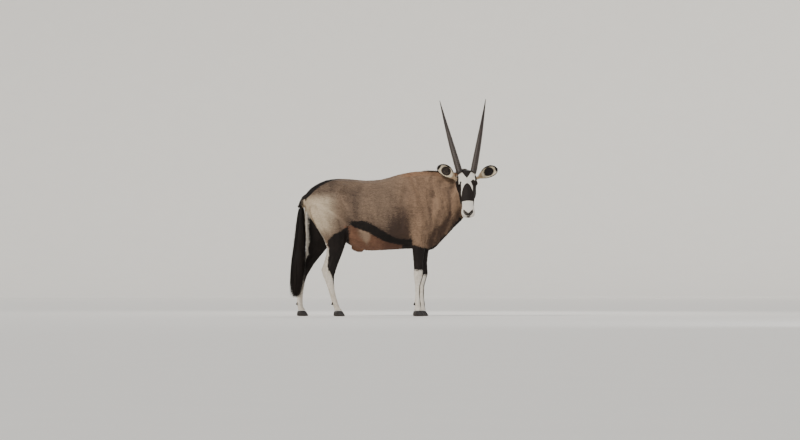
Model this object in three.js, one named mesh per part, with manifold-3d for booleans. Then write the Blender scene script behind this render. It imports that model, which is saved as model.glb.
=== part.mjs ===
// A life-size gemsbok bull, standing side-on with the head turned square to its right.
// Millimetres. +X is towards the chest, +Y is the animal's left, +Z is up, and the hooves stand on z = 0.
import * as THREE from 'three';
import Module from 'manifold-3d';
import { mergeVertices } from 'three/addons/utils/BufferGeometryUtils.js';

const wasm = await Module();
wasm.setup();

// Driving dimensions
const GAP = 0.3; // clearance between touching sub-parts
const LEG_SPREAD_FRONT = 102; // midline to the centre of a foreleg
const LEG_SPREAD_HIND = 116; // midline to the centre of a hind leg
const FAR_FORE_STEP = 35; // how far the left foreleg stands ahead of the right one
const HOOF_HEIGHT = 46;
const HOOF_LENGTH = 94;
const CLAW_WIDTH = 33;
const HORN_LENGTH = 840;
const HORN_RADIUS = 27;
const HORN_RINGS = 20;
const EAR_LENGTH = 172;
const EAR_RADIUS = 50;
const EYE_RADIUS = 19;
const NECK_CUT_X = 330; // where the neck is parted from the torso
const FORE_CUT_Z = 545; // where the forelegs are parted from the torso
const HIND_CUT_Z = 572; // where the hind legs are parted from the torso
const TAIL_CUT_Z = 905; // where the tail is parted from the rump
const TAIL_TIP_Z = 146;

// The head is modelled level, muzzle to +X, and is then swung to this place
const POLL = new THREE.Vector3(600, -158, 1212);
const HEAD_PITCH = 68; // degrees that the muzzle points down
const HEAD_TURN = -90;
const HEAD_TILT = -2; // the left ear is carried a little higher than the right

const COLOURS = {
  coat: { color: 0x9a7d62, roughness: 0.85, metalness: 0 },
  face: { color: 0xd9d2c5, roughness: 0.85, metalness: 0 },
  black: { color: 0x1b1716, roughness: 0.8, metalness: 0 },
  white: { color: 0xded6c8, roughness: 0.85, metalness: 0 },
  horn: { color: 0x2b2623, roughness: 0.45, metalness: 0 },
  eye: { color: 0x120c0a, roughness: 0.08, metalness: 0 },
};

const radians = (degrees) => (degrees * Math.PI) / 180;
const clamp01 = (t) => Math.min(1, Math.max(0, t));
const mix = (a, b, t) => a + (b - a) * t;

// A small repeatable random source
function seeded(seed) {
  let state = seed;
  return () => {
    state = (state * 1664525 + 1013904223) % 4294967296;
    return state / 4294967296;
  };
}

// Solids and geometry

function toSolid(geometry) {
  const bare = geometry.clone();
  for (const name of Object.keys(bare.attributes)) {
    if (name !== 'position') bare.deleteAttribute(name);
  }
  const merged = mergeVertices(bare, 1e-3);
  const vertProperties = new Float32Array(merged.attributes.position.array);
  const triVerts = new Uint32Array(merged.index.array);
  return new wasm.Manifold(new wasm.Mesh({ numProp: 3, vertProperties, triVerts }));
}

function toGeometry(solid) {
  const mesh = solid.getMesh();
  const positions = new Float32Array(mesh.numVert * 3);
  for (let i = 0; i < mesh.numVert; i += 1) {
    for (let k = 0; k < 3; k += 1) positions[i * 3 + k] = mesh.vertProperties[i * mesh.numProp + k];
  }
  const geometry = new THREE.BufferGeometry();
  geometry.setAttribute('position', new THREE.BufferAttribute(positions, 3));
  geometry.setIndex(new THREE.BufferAttribute(new Uint32Array(mesh.triVerts), 1));
  geometry.computeVertexNormals();
  return geometry;
}

const join = (solids) => solids.reduce((whole, piece) => whole.add(piece));

// Keeps the largest closed surface of a node
function largest(solid) {
  return solid.decompose().reduce((best, body) => (body.volume() > best.volume() ? body : best));
}

function box(low, high) {
  const size = high.map((v, i) => v - low[i]);
  const geometry = new THREE.BoxGeometry(...size);
  geometry.translate(...low.map((v, i) => v + size[i] / 2));
  return toSolid(geometry);
}

function ellipsoid(centre, radii, detail = 16, turn = [0, 0, 0]) {
  const geometry = new THREE.SphereGeometry(1, detail, Math.round(detail * 0.6));
  geometry.scale(...radii);
  geometry.rotateX(radians(turn[0])).rotateY(radians(turn[1])).rotateZ(radians(turn[2]));
  geometry.translate(...centre);
  return toSolid(geometry);
}

// Closes a run of equal rings of points into one surface, with a fan over each end
function skinRings(rings) {
  const count = rings[0].length;
  const positions = rings.flat().flatMap((p) => [p.x, p.y, p.z]);
  const index = [];
  for (let r = 0; r < rings.length - 1; r += 1) {
    for (let i = 0; i < count; i += 1) {
      const a = r * count + i;
      const b = r * count + ((i + 1) % count);
      index.push(a, b, b + count, a, b + count, a + count);
    }
  }
  for (const [ring, flip] of [[0, true], [rings.length - 1, false]]) {
    const centre = rings[ring].reduce((sum, p) => sum.add(p), new THREE.Vector3());
    centre.divideScalar(count);
    positions.push(centre.x, centre.y, centre.z);
    const hub = positions.length / 3 - 1;
    for (let i = 0; i < count; i += 1) {
      const a = ring * count + i;
      const b = ring * count + ((i + 1) % count);
      index.push(...(flip ? [hub, b, a] : [hub, a, b]));
    }
  }
  const geometry = new THREE.BufferGeometry();
  geometry.setAttribute('position', new THREE.Float32BufferAttribute(positions, 3));
  geometry.setIndex(index);
  const solid = toSolid(geometry);
  if (solid.volume() > 0) return solid;
  for (let i = 0; i < index.length; i += 3) [index[i + 1], index[i + 2]] = [index[i + 2], index[i + 1]];
  geometry.setIndex(index);
  return toSolid(geometry);
}

// Reads every named value of a table of stations at t from 0 to 1, on a smooth curve through them
function along(stations, t) {
  const place = clamp01(t) * (stations.length - 1);
  const i = Math.min(stations.length - 2, Math.floor(place));
  const s = place - i;
  const at = (k) => stations[Math.min(stations.length - 1, Math.max(0, k))];
  const value = {};
  for (const key of Object.keys(stations[0])) {
    const [a, b, c, d] = [at(i - 1)[key], at(i)[key], at(i + 1)[key], at(i + 2)[key]];
    const rise = (c - a) / 2;
    const next = (d - b) / 2;
    value[key] = b + s * (rise + s * (3 * (c - b) - 2 * rise - next + s * (2 * (b - c) + rise + next)));
  }
  return value;
}

const signedPower = (v, p) => Math.sign(v) * Math.abs(v) ** p;

// A flattened round section: half is its half width, up and down its reach from the centre
function section(sides, { half, up, down, sharpUp = 2, sharpDown = 2 }) {
  return Array.from({ length: sides }, (_, i) => {
    const angle = (i / sides) * 2 * Math.PI;
    const sharp = Math.sin(angle) > 0 ? sharpUp : sharpDown;
    const reach = Math.sin(angle) > 0 ? up : down;
    return [half * signedPower(Math.cos(angle), 2 / sharp), reach * signedPower(Math.sin(angle), 2 / sharp)];
  });
}

// A body swept through stations. Each holds its centre x, y, z, the way it heads (turn about Z and pitch)
// and its section. bulge may push a point sideways.
function sweep(stations, { sides, steps, bulge = () => 0 }) {
  const rings = [];
  const last = (stations.length - 1) * steps;
  for (let k = 0; k <= last; k += 1) {
    const v = along(stations, k / last);
    const [turn, pitch] = [radians(v.turn ?? 0), radians(v.pitch ?? 0)];
    const side = new THREE.Vector3(-Math.sin(turn), Math.cos(turn), 0);
    const up = new THREE.Vector3(
      -Math.sin(pitch) * Math.cos(turn), -Math.sin(pitch) * Math.sin(turn), Math.cos(pitch));
    rings.push(section(sides, v).map(([a, b]) => {
      const p = new THREE.Vector3(v.x, v.y, v.z).addScaledVector(side, a).addScaledVector(up, b);
      return p.addScaledVector(side, Math.sign(a) * bulge(p, Math.abs(a) / v.half));
    }));
  }
  return skinRings(rings);
}

// Trunk and neck in one sweep

// top and bottom are heights, wide is the height of the widest point
const TRUNK = [
  { x: -738, y: 0, turn: 0, top: 990, bottom: 925, wide: 960, half: 22, sharpUp: 2, sharpDown: 2 },
  { x: -715, y: 0, turn: 0, top: 1042, bottom: 850, wide: 950, half: 72, sharpUp: 2, sharpDown: 2 },
  { x: -650, y: 0, turn: 0, top: 1094, bottom: 755, wide: 945, half: 128, sharpUp: 2, sharpDown: 2 },
  { x: -560, y: 0, turn: 0, top: 1134, bottom: 690, wide: 935, half: 165, sharpUp: 2, sharpDown: 2 },
  { x: -460, y: 0, turn: 0, top: 1146, bottom: 648, wide: 915, half: 184, sharpUp: 2.1, sharpDown: 2 },
  { x: -350, y: 0, turn: 0, top: 1142, bottom: 585, wide: 880, half: 196, sharpUp: 2, sharpDown: 2 },
  { x: -230, y: 0, turn: 0, top: 1132, bottom: 548, wide: 845, half: 215, sharpUp: 2, sharpDown: 2 },
  { x: -100, y: 0, turn: 0, top: 1142, bottom: 548, wide: 830, half: 222, sharpUp: 1.9, sharpDown: 2.1 },
  { x: 30, y: 0, turn: 0, top: 1180, bottom: 556, wide: 820, half: 208, sharpUp: 1.75, sharpDown: 2.1 },
  { x: 150, y: 0, turn: 0, top: 1205, bottom: 562, wide: 820, half: 180, sharpUp: 1.65, sharpDown: 2 },
  { x: 250, y: 0, turn: 0, top: 1210, bottom: 552, wide: 830, half: 150, sharpUp: 1.7, sharpDown: 1.9 },
  { x: 330, y: 0, turn: 0, top: 1207, bottom: 562, wide: 860, half: 128, sharpUp: 1.75, sharpDown: 1.8 },
  { x: 400, y: 2, turn: 0, top: 1204, bottom: 628, wide: 905, half: 114, sharpUp: 1.8, sharpDown: 1.8 },
  { x: 462, y: 0, turn: -12, top: 1201, bottom: 697, wide: 945, half: 105, sharpUp: 1.8, sharpDown: 1.8 },
  { x: 513, y: -18, turn: -29, top: 1197, bottom: 752, wide: 978, half: 98, sharpUp: 1.85, sharpDown: 1.8 },
  { x: 552, y: -47, turn: -45, top: 1191, bottom: 800, wide: 1005, half: 92, sharpUp: 1.9, sharpDown: 1.8 },
  { x: 581, y: -84, turn: -60, top: 1182, bottom: 866, wide: 1030, half: 84, sharpUp: 2, sharpDown: 1.9 },
  { x: 599, y: -128, turn: -75, top: 1166, bottom: 972, wide: 1060, half: 70, sharpUp: 2, sharpDown: 2 },
].map(({ top, bottom, wide, ...rest }) => ({ ...rest, z: wide, up: top - wide, down: wide - bottom }));

// Rounded muscle masses on the flanks: place, spread and height
const MUSCLES = [
  { x: 205, z: 900, wide: 95, tall: 190, high: 24 }, // shoulder blade and upper arm
  { x: 250, z: 720, wide: 60, tall: 70, high: 18 }, // point of the shoulder
  { x: -565, z: 945, wide: 125, tall: 130, high: 18 }, // haunch
  { x: -400, z: 1040, wide: 50, tall: 50, high: 8 }, // point of the hip
  { x: 430, z: 880, wide: 120, tall: 70, high: 6 }, // neck muscle
];

function flankBulge(p, outward) {
  const fade = clamp01(outward) ** 1.5;
  return MUSCLES.reduce((sum, m) => {
    const far = ((p.x - m.x) / m.wide) ** 2 + ((p.z - m.z) / m.tall) ** 2;
    return sum + m.high * fade * Math.exp(-far);
  }, 0);
}

const trunk = () => sweep(TRUNK, { sides: 22, steps: 2, bulge: flankBulge });

// The same trunk a gap larger all round
function trunkGrown() {
  const grown = TRUNK.map((v) => ({ ...v, half: v.half + GAP, up: v.up + GAP, down: v.down + GAP }));
  return sweep(grown, { sides: 22, steps: 2, bulge: flankBulge });
}

const sheath = () => ellipsoid([-300, 0, 567], [60, 24, 24], 12, [0, 14, 0]);

// Legs: a table of levels gives the front and rear edge, the half width and how far out the level stands

const FORELEG = [
  { z: 880, front: 280, rear: 122, half: 34, out: -6 },
  { z: 800, front: 292, rear: 100, half: 56, out: -2 },
  { z: 715, front: 288, rear: 110, half: 60, out: 2 },
  { z: 655, front: 280, rear: 130, half: 53, out: 2 },
  { z: 590, front: 266, rear: 146, half: 44, out: 0 },
  { z: 520, front: 252, rear: 154, half: 38, out: 0 },
  { z: 450, front: 244, rear: 160, half: 33, out: 0 },
  { z: 400, front: 246, rear: 163, half: 34, out: 0 },
  { z: 350, front: 247, rear: 162, half: 35, out: 0 },
  { z: 305, front: 236, rear: 167, half: 29, out: 0 },
  { z: 255, front: 221, rear: 174, half: 21, out: 0 },
  { z: 190, front: 218, rear: 174, half: 19, out: 0 },
  { z: 140, front: 219, rear: 171, half: 21, out: 0 },
  { z: 108, front: 225, rear: 164, half: 25, out: 0 },
  { z: 76, front: 226, rear: 170, half: 23, out: 0 },
  { z: HOOF_HEIGHT, front: 234, rear: 163, half: 28, out: 0 },
];

const HIND_FORWARD = [
  { z: 1000, front: -440, rear: -660, half: 36, out: -20 },
  { z: 920, front: -402, rear: -704, half: 70, out: -14 },
  { z: 820, front: -378, rear: -684, half: 82, out: -6 },
  { z: 730, front: -370, rear: -636, half: 80, out: -2 },
  { z: 650, front: -382, rear: -584, half: 68, out: 0 },
  { z: 575, front: -407, rear: -557, half: 52, out: 0 },
  { z: 505, front: -432, rear: -564, half: 40, out: 0 },
  { z: 440, front: -458, rear: -584, half: 32, out: 0 },
  { z: 388, front: -476, rear: -602, half: 31, out: 0 },
  { z: 340, front: -490, rear: -592, half: 29, out: 0 },
  { z: 285, front: -494, rear: -568, half: 24, out: 0 },
  { z: 220, front: -489, rear: -546, half: 20, out: 0 },
  { z: 155, front: -475, rear: -526, half: 20, out: 0 },
  { z: 108, front: -460, rear: -516, half: 25, out: 0 },
  { z: 76, front: -448, rear: -500, half: 23, out: 0 },
  { z: HOOF_HEIGHT, front: -424, rear: -494, half: 28, out: 0 },
];

// How far each level of the left hind leg stands behind the right one
const HIND_BACK = [12, 20, 36, 70, 106, 146, 178, 204, 218, 232, 247, 264, 284, 300, 306, 310];

// The drawn-back thigh stays full behind, so its rear edge hangs almost straight down from the buttock
const thighRear = (z) => (z > 520 && z < 960 ? -736 - 0.03 * (z - 575) : 0);

const hindBackward = HIND_FORWARD.map((level, i) => ({
  ...level,
  front: level.front - HIND_BACK[i],
  rear: Math.min(level.rear - HIND_BACK[i], thighRear(level.z)),
}));

function leg(levels, spread, sign, forward = 0) {
  const stations = levels.map(({ z, front, rear, half, out }) => ({
    x: (front + rear) / 2 + forward,
    y: sign * (spread + out),
    z,
    pitch: -90,
    half,
    up: (front - rear) / 2,
    down: (front - rear) / 2,
    sharpUp: 2,
    sharpDown: 2,
  }));
  return sweep(stations, { sides: 12, steps: 1 });
}

// One claw of a cloven hoof, toe to +X, flat on the floor and flat on the side of its fellow
function claw(heelX, y, side) {
  const levels = [
    { z: 0, heel: 0.02, toe: 1, wide: 1 },
    { z: 0.3, heel: 0, toe: 0.95, wide: 0.99 },
    { z: 0.7, heel: 0.03, toe: 0.83, wide: 0.93 },
    { z: 1, heel: 0.07, toe: 0.74, wide: 0.84 },
  ];
  const around = 14;
  const rings = levels.map(({ z, heel, toe, wide }) => Array.from({ length: around }, (_, i) => {
    const angle = (i / around) * 2 * Math.PI;
    const lengthwise = (1 - Math.cos(angle)) / 2;
    const outward = Math.sin(angle) > 0 ? 0.6 * Math.sin(angle) ** 0.8 : 0.4 * Math.sin(angle);
    const across = (0.4 + outward) * (1 - 0.38 * lengthwise ** 2.5) * wide * CLAW_WIDTH;
    return new THREE.Vector3(
      heelX + HOOF_LENGTH * mix(heel, toe, lengthwise), y + side * (1 + across), z * (HOOF_HEIGHT - GAP));
  }));
  return skinRings(rings);
}

// A dewclaw behind the fetlock, leaning back and down
const dewclaw = (x, y, z) => ellipsoid([x, y, z], [9, 8, 15], 7, [0, 28, 0]);

// Head parts, in the head's own frame: x from the poll to the nose, z up from the line of the face.
// grow is how far a form swells, for the hollow that it stands in.

const SKULL = [
  { x: -22, top: -48, bottom: -112, half: 40, sharpUp: 2, sharpDown: 2 },
  { x: 2, top: -14, bottom: -142, half: 70, sharpUp: 2.2, sharpDown: 2 },
  { x: 45, top: 0, bottom: -160, half: 82, sharpUp: 2.5, sharpDown: 2 },
  { x: 98, top: 2, bottom: -166, half: 82, sharpUp: 2.5, sharpDown: 2 },
  { x: 145, top: -2, bottom: -152, half: 74, sharpUp: 2.4, sharpDown: 2 },
  { x: 200, top: -7, bottom: -126, half: 64, sharpUp: 2.3, sharpDown: 2.1 },
  { x: 260, top: -9, bottom: -104, half: 55, sharpUp: 2.2, sharpDown: 2.2 },
  { x: 312, top: -10, bottom: -94, half: 50, sharpUp: 2.2, sharpDown: 2.3 },
  { x: 346, top: -12, bottom: -92, half: 55, sharpUp: 2.1, sharpDown: 2.3 },
  { x: 375, top: -20, bottom: -92, half: 55, sharpUp: 2.1, sharpDown: 2.2 },
  { x: 394, top: -34, bottom: -86, half: 43, sharpUp: 2, sharpDown: 2 },
  { x: 402, top: -48, bottom: -74, half: 20, sharpUp: 2, sharpDown: 2 },
];

const LOWER_JAW = [
  { x: 55, top: -80, bottom: -158, half: 56, sharpUp: 2, sharpDown: 2 },
  { x: 90, top: -78, bottom: -186, half: 68, sharpUp: 2, sharpDown: 1.9 },
  { x: 140, top: -80, bottom: -184, half: 68, sharpUp: 2, sharpDown: 1.9 },
  { x: 200, top: -82, bottom: -160, half: 54, sharpUp: 2, sharpDown: 1.9 },
  { x: 265, top: -82, bottom: -136, half: 40, sharpUp: 2, sharpDown: 2 },
  { x: 318, top: -84, bottom: -122, half: 35, sharpUp: 2, sharpDown: 2 },
  { x: 350, top: -84, bottom: -122, half: 38, sharpUp: 2, sharpDown: 2.2 },
  { x: 373, top: -86, bottom: -117, half: 34, sharpUp: 2, sharpDown: 2.2 },
  { x: 383, top: -90, bottom: -108, half: 20, sharpUp: 2, sharpDown: 2 },
];

const EYE = { x: 104, y: 69, z: -38 };

function headLoft(table, count, grow) {
  const stations = table.map(({ x, top, bottom, half, sharpUp, sharpDown }, i) => {
    const z = mix(bottom, top, 0.55);
    const end = (i === table.length - 1) - (i === 0);
    return {
      x: x + end * grow, y: 0, z, half: half + grow,
      up: top - z + grow, down: z - bottom + grow, sharpUp, sharpDown,
    };
  });
  return sweep(stations, { sides: count, steps: 2 });
}

const swell = (radii, grow) => radii.map((r) => r + grow);

// The bony brow, the cheek muscle, the ridge under the eye and the soft nostril wing of one side
const faceForms = (s, grow) => [
  ellipsoid([EYE.x - 6, s * 70, -18], swell([36, 17, 15], grow), 10, [s * -18, 0, s * 4]),
  ellipsoid([146, s * 52, -112], swell([76, 24, 50], grow), 12, [0, -16, 0]),
  ellipsoid([168, s * 61, -66], swell([66, 11, 10], grow), 8, [0, 10, s * -11]),
  ellipsoid([367, s * 36, -44], swell([27, 18, 21], grow), 10, [0, 20, 0]),
  ellipsoid([354, s * 45, -84], swell([36, 11, 11], grow), 8, [0, 4, s * -8]),
];

const headMass = (grow) => join([
  headLoft(SKULL, 20, grow), headLoft(LOWER_JAW, 12, grow), ...faceForms(1, grow), ...faceForms(-1, grow)]);

const lids = (s, grow = 0) => ellipsoid(
  [EYE.x, s * EYE.y, EYE.z], swell([EYE_RADIUS + 9, EYE_RADIUS + 3.2, EYE_RADIUS + 4], grow), 14);

const eyeball = (s, grow = 0) => ellipsoid(
  [EYE.x, s * EYE.y, EYE.z], swell([EYE_RADIUS, EYE_RADIUS, EYE_RADIUS], grow), 12);

// The almond opening between the lids
const lidOpening = (s) => ellipsoid(
  [EYE.x + 1, s * (EYE.y + EYE_RADIUS + 4), EYE.z - 1], [17, 18, 8.5], 14, [0, 14, 0]);

const nostril = (s) => join([
  ellipsoid([382, s * 25, -30], [16, 7, 11], 12, [0, 24, s * -36]),
  ellipsoid([366, s * 37, -27], [13, 6, 8], 10, [0, 14, s * -40]),
]);

// The line of the mouth: a thin curved slot that follows the lips round the muzzle
function mouthSlot() {
  const half = 1.6;
  const rings = [-1, -0.8, -0.55, -0.25, 0.25, 0.55, 0.8, 1].map((t) => {
    const back = 306 + 92 * (1 - Math.abs(t) ** 2.4);
    const level = -99 + 7 * (1 - Math.abs(t));
    return [[back - 26, half], [back + 40, half], [back + 40, -half], [back - 26, -half]].map(
      ([x, z]) => new THREE.Vector3(x, 76 * t, level + z));
  });
  return skinRings(rings).subtract(ellipsoid([310, 0, -96], [72, 35, 40], 12));
}

// An ear grows along its own +Y and opens to its +X. Its root is a solid stalk that stands in the head.
const earStalk = (grow) => sweep([
  { x: 0, y: -40 - grow, z: 0, turn: 90, half: 15 + grow, up: 15 + grow, down: 15 + grow },
  { x: -1, y: -6, z: 0, turn: 90, half: 15 + grow, up: 16 + grow, down: 16 + grow },
  { x: -4, y: 24, z: 2, turn: 90, half: 11 + grow, up: 15 + grow, down: 15 + grow },
  { x: -10, y: 46, z: 4, turn: 90, half: 4 + grow, up: 7 + grow, down: 7 + grow },
].map((v) => ({ ...v, sharpUp: 2, sharpDown: 2, pitch: 0 })), { sides: 8, steps: 1 });

// The leaf widens over its first half and is rounded off towards its tip
const leafOut = (t) => Math.sin((Math.PI / 2) * clamp01(t / 0.55)) ** 1.3;
const leafEnd = (t) => Math.max(0.14, Math.sqrt(1 - clamp01((t - 0.55) / 0.45) ** 2.4));

function earShell() {
  const around = 8;
  const stations = 9;
  const rings = Array.from({ length: stations + 1 }, (_, k) => {
    const t = k / stations;
    const radius = EAR_RADIUS * mix(0.3, 1, leafOut(t)) * leafEnd(t);
    const wrap = mix(160, 92, clamp01(t * 2.2)) - 12 * t;
    const thick = mix(8, 3.4, clamp01(t * 2.5));
    const bend = 16 * Math.sin(Math.PI * t);
    const rim = (r, i) => {
      const angle = radians(-wrap + (2 * wrap * i) / (around - 1));
      return new THREE.Vector3(
        -0.62 * r * Math.cos(angle) + bend, EAR_LENGTH * t, r * Math.sin(angle) + 12 * Math.sin(Math.PI * t));
    };
    const outer = Array.from({ length: around }, (_, i) => rim(radius, i));
    const inner = Array.from({ length: around }, (_, i) => rim(radius - thick, around - 1 - i));
    return [...outer, ...inner];
  });
  return skinRings(rings);
}

function moved(solid, matrix) {
  const geometry = toGeometry(solid).applyMatrix4(matrix);
  if (matrix.determinant() < 0) {
    const index = geometry.index.array;
    for (let i = 0; i < index.length; i += 3) [index[i + 1], index[i + 2]] = [index[i + 2], index[i + 1]];
  }
  return toSolid(geometry);
}

const headMatrix = new THREE.Matrix4()
  .makeTranslation(POLL.x, POLL.y, POLL.z)
  .multiply(new THREE.Matrix4().makeRotationY(radians(HEAD_TILT)))
  .multiply(new THREE.Matrix4().makeRotationZ(radians(HEAD_TURN)))
  .multiply(new THREE.Matrix4().makeRotationY(radians(HEAD_PITCH)));

const placed = (solid) => moved(solid, headMatrix);

// Ears are held out level and a little back, the cup to the front, and are mirrored left and right
function earMatrix(s) {
  const lift = radians(s > 0 ? 24 : 34);
  const back = radians(9);
  const length = new THREE.Vector3(
    s * Math.cos(lift) * Math.cos(back), Math.sin(back), Math.sin(lift)).normalize();
  const opening = new THREE.Vector3(s * 0.1, -1, -0.16);
  opening.addScaledVector(length, -opening.dot(length)).normalize();
  const width = opening.clone().cross(length).multiplyScalar(s);
  return new THREE.Matrix4()
    .makeBasis(opening, length, width)
    .setPosition(new THREE.Vector3(47, s * 98, -58).applyMatrix4(headMatrix));
}

// A horn: a long shallow curve with raised rings over its lower two thirds
function horn(s, grow = 0) {
  const around = 10;
  const rings = [];
  const path = (t) => new THREE.Vector3(
    20 - HORN_LENGTH * (0.945 * t - 0.012 * t * t),
    s * (55 + HORN_LENGTH * (0.19 * t - 0.025 * t * t)),
    -24 - HORN_LENGTH * (0.24 * t + 0.05 * t * t));
  const addRing = (t, lift) => {
    const centre = path(t);
    const ahead = path(t + 0.01).sub(centre).normalize();
    const side = new THREE.Vector3(0, 1, 0).cross(ahead).normalize();
    const across = ahead.clone().cross(side);
    const radius = HORN_RADIUS * (1 - 0.93 * Math.max(0, t) ** 1.5) + lift + grow;
    rings.push(Array.from({ length: around }, (_, i) => {
      const angle = (i / around) * 2 * Math.PI;
      return centre.clone()
        .addScaledVector(side, radius * 1.06 * Math.cos(angle))
        .addScaledVector(across, radius * 0.96 * Math.sin(angle));
    }));
  };
  addRing(-grow / HORN_LENGTH, 0);
  for (let k = 0; k < HORN_RINGS; k += 1) {
    const t = 0.055 + (0.62 * k) / HORN_RINGS;
    addRing(t, 0);
    addRing(t + 0.01, 2.6 * (1 - 0.55 * (k / HORN_RINGS)));
  }
  for (const t of [0.68, 0.76, 0.84, 0.91, 0.96, 1]) addRing(t, 0);
  return skinRings(rings);
}

// Locks of hair

// One flat, tapered lock from its root along a bending path. wide and thin are its half sizes at the root.
function lock({ root, aim, droop, length, wide, thin, flat, stations = 5 }) {
  const rings = [];
  for (let k = 0; k <= stations; k += 1) {
    const t = k / stations;
    const centre = root.clone().addScaledVector(aim, length * t).addScaledVector(droop, length * t * t);
    const ahead = aim.clone().addScaledVector(droop, 2 * t).normalize();
    const across = flat.clone().addScaledVector(ahead, -flat.dot(ahead)).normalize();
    const out = ahead.clone().cross(across);
    const taper = (1 - t ** 1.6) * (0.75 + 0.5 * Math.sin(Math.PI * Math.min(1, t * 1.2))) + 0.04;
    rings.push([[1, 0], [0, 1], [-1, 0], [0, -1]].map(([a, b]) => centre.clone()
      .addScaledVector(across, a * wide * taper)
      .addScaledVector(out, b * thin * Math.max(taper, 0.2))));
  }
  return skinRings(rings);
}

const TAIL_PATH = [
  { x: -690, y: 0, z: 1022, pitch: -145, half: 26, up: 24, down: 24 },
  { x: -738, y: 0, z: 985, pitch: -128, half: 27, up: 25, down: 25 },
  { x: -768, y: -2, z: 925, pitch: -104, half: 26, up: 25, down: 24 },
  { x: -775, y: -3, z: 850, pitch: -94, half: 26, up: 26, down: 26 },
  { x: -781, y: -4, z: 740, pitch: -94, half: 29, up: 33, down: 33 },
  { x: -791, y: -4, z: 620, pitch: -95, half: 30, up: 37, down: 37 },
  { x: -804, y: -4, z: 480, pitch: -94, half: 27, up: 35, down: 35 },
  { x: -812, y: -4, z: 350, pitch: -92, half: 18, up: 25, down: 25 },
  { x: -813, y: -4, z: 245, pitch: -90, half: 4, up: 5, down: 5 },
].map((v) => ({ ...v, sharpUp: 2, sharpDown: 2 }));

// Long black locks set round the tail in tiers, all hanging
function tailLocks() {
  const random = seeded(7);
  const locks = [];
  const tiers = 4;
  const around = 5;
  for (let tier = 0; tier < tiers; tier += 1) {
    const v = along(TAIL_PATH, 0.38 + (0.44 * tier) / (tiers - 1));
    for (let i = 0; i < around; i += 1) {
      const angle = ((i + (tier % 2) / 2 + 0.3 * random()) / around) * 2 * Math.PI;
      const out = new THREE.Vector3(Math.cos(angle), Math.sin(angle), 0);
      const length = Math.min(v.z - TAIL_TIP_Z - 110 * random(), 300 + 130 * random());
      locks.push(lock({
        root: new THREE.Vector3(v.x, v.y, v.z).addScaledVector(out, v.half * 0.62),
        aim: new THREE.Vector3(out.x * 0.14 - 0.02, out.y * 0.1, -1).normalize(),
        droop: new THREE.Vector3(-out.x * 0.1, -out.y * 0.08, -0.015),
        length,
        wide: 19 + 5 * random(),
        thin: 6.5,
        flat: new THREE.Vector3(-out.y, out.x, 0),
        stations: 4,
      }));
    }
  }
  return locks;
}

// The mane stands on a low ridge along the crest of the neck
const MANE_FROM = 11.25; // station of the trunk where the mane begins
const MANE_TO = 15.6;

function crestAt(place) {
  const v = along(TRUNK, place / (TRUNK.length - 1));
  const turn = radians(v.turn);
  return {
    top: new THREE.Vector3(v.x, v.y, v.z + v.up),
    turn: v.turn,
    forward: new THREE.Vector3(Math.cos(turn), Math.sin(turn), 0),
    side: new THREE.Vector3(-Math.sin(turn), Math.cos(turn), 0),
  };
}

function maneRidge(grow) {
  const count = 8;
  const stations = Array.from({ length: count + 1 }, (_, i) => {
    const { top, turn, forward } = crestAt(mix(MANE_FROM, MANE_TO, i / count));
    const end = (i === count) - (i === 0);
    const p = top.addScaledVector(forward, end * grow);
    const small = i === 0 || i === count ? 0.55 : 1;
    return {
      x: p.x, y: p.y, z: p.z - 8, turn, half: 13 * small + grow, up: 14 * small + grow, down: 14 * small + grow,
      sharpUp: 2, sharpDown: 2,
    };
  });
  return sweep(stations, { sides: 10, steps: 1 });
}

function maneLocks() {
  const random = seeded(23);
  const count = 15;
  return Array.from({ length: count }, (_, i) => {
    const { top, forward, side } = crestAt(mix(MANE_FROM + 0.12, MANE_TO - 0.12, i / (count - 1)));
    const lean = 0.5 * (random() - 0.5) + (i % 2 ? 0.35 : -0.35);
    return lock({
      root: top.add(new THREE.Vector3(0, 0, -5)).addScaledVector(side, 9 * lean),
      aim: new THREE.Vector3(0, 0, 0.75).addScaledVector(forward, -0.66).addScaledVector(side, 0.3 * lean),
      droop: forward.clone().multiplyScalar(-0.3).add(new THREE.Vector3(0, 0, -0.42)),
      length: 44 + 10 * random(),
      wide: 18,
      thin: 4.5,
      flat: forward,
      stations: 4,
    });
  });
}

// Assembly

const sides = [['right', -1], ['left', 1]];
const FAR = 3000; // beyond every part
const group = new THREE.Group();

function addNode(name, solid, look) {
  const mesh = new THREE.Mesh(toGeometry(largest(solid)), new THREE.MeshStandardMaterial(COLOURS[look]));
  mesh.name = name;
  group.add(mesh);
}

// Takes the part of a solid inside a region away from it, a gap apart, and returns both
function part(solid, low, high) {
  const inside = solid.intersect(box(low, high));
  const outside = solid.subtract(box(low.map((v) => v - GAP), high.map((v) => v + GAP)));
  return [largest(inside), largest(outside)];
}

// Head, with its horns, ears and eyes standing in hollows of their own shape
let head = headMass(0);
for (const [, s] of sides) head = head.add(lids(s));
for (const [name, s] of sides) {
  head = head.subtract(eyeball(s, GAP)).subtract(lidOpening(s)).subtract(nostril(s)).subtract(horn(s, GAP));
  addNode(`eye_${name}`, placed(eyeball(s)), 'eye');
  addNode(`horn_${name}`, placed(horn(s)), 'horn');
}
head = placed(head.subtract(mouthSlot()));

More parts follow.
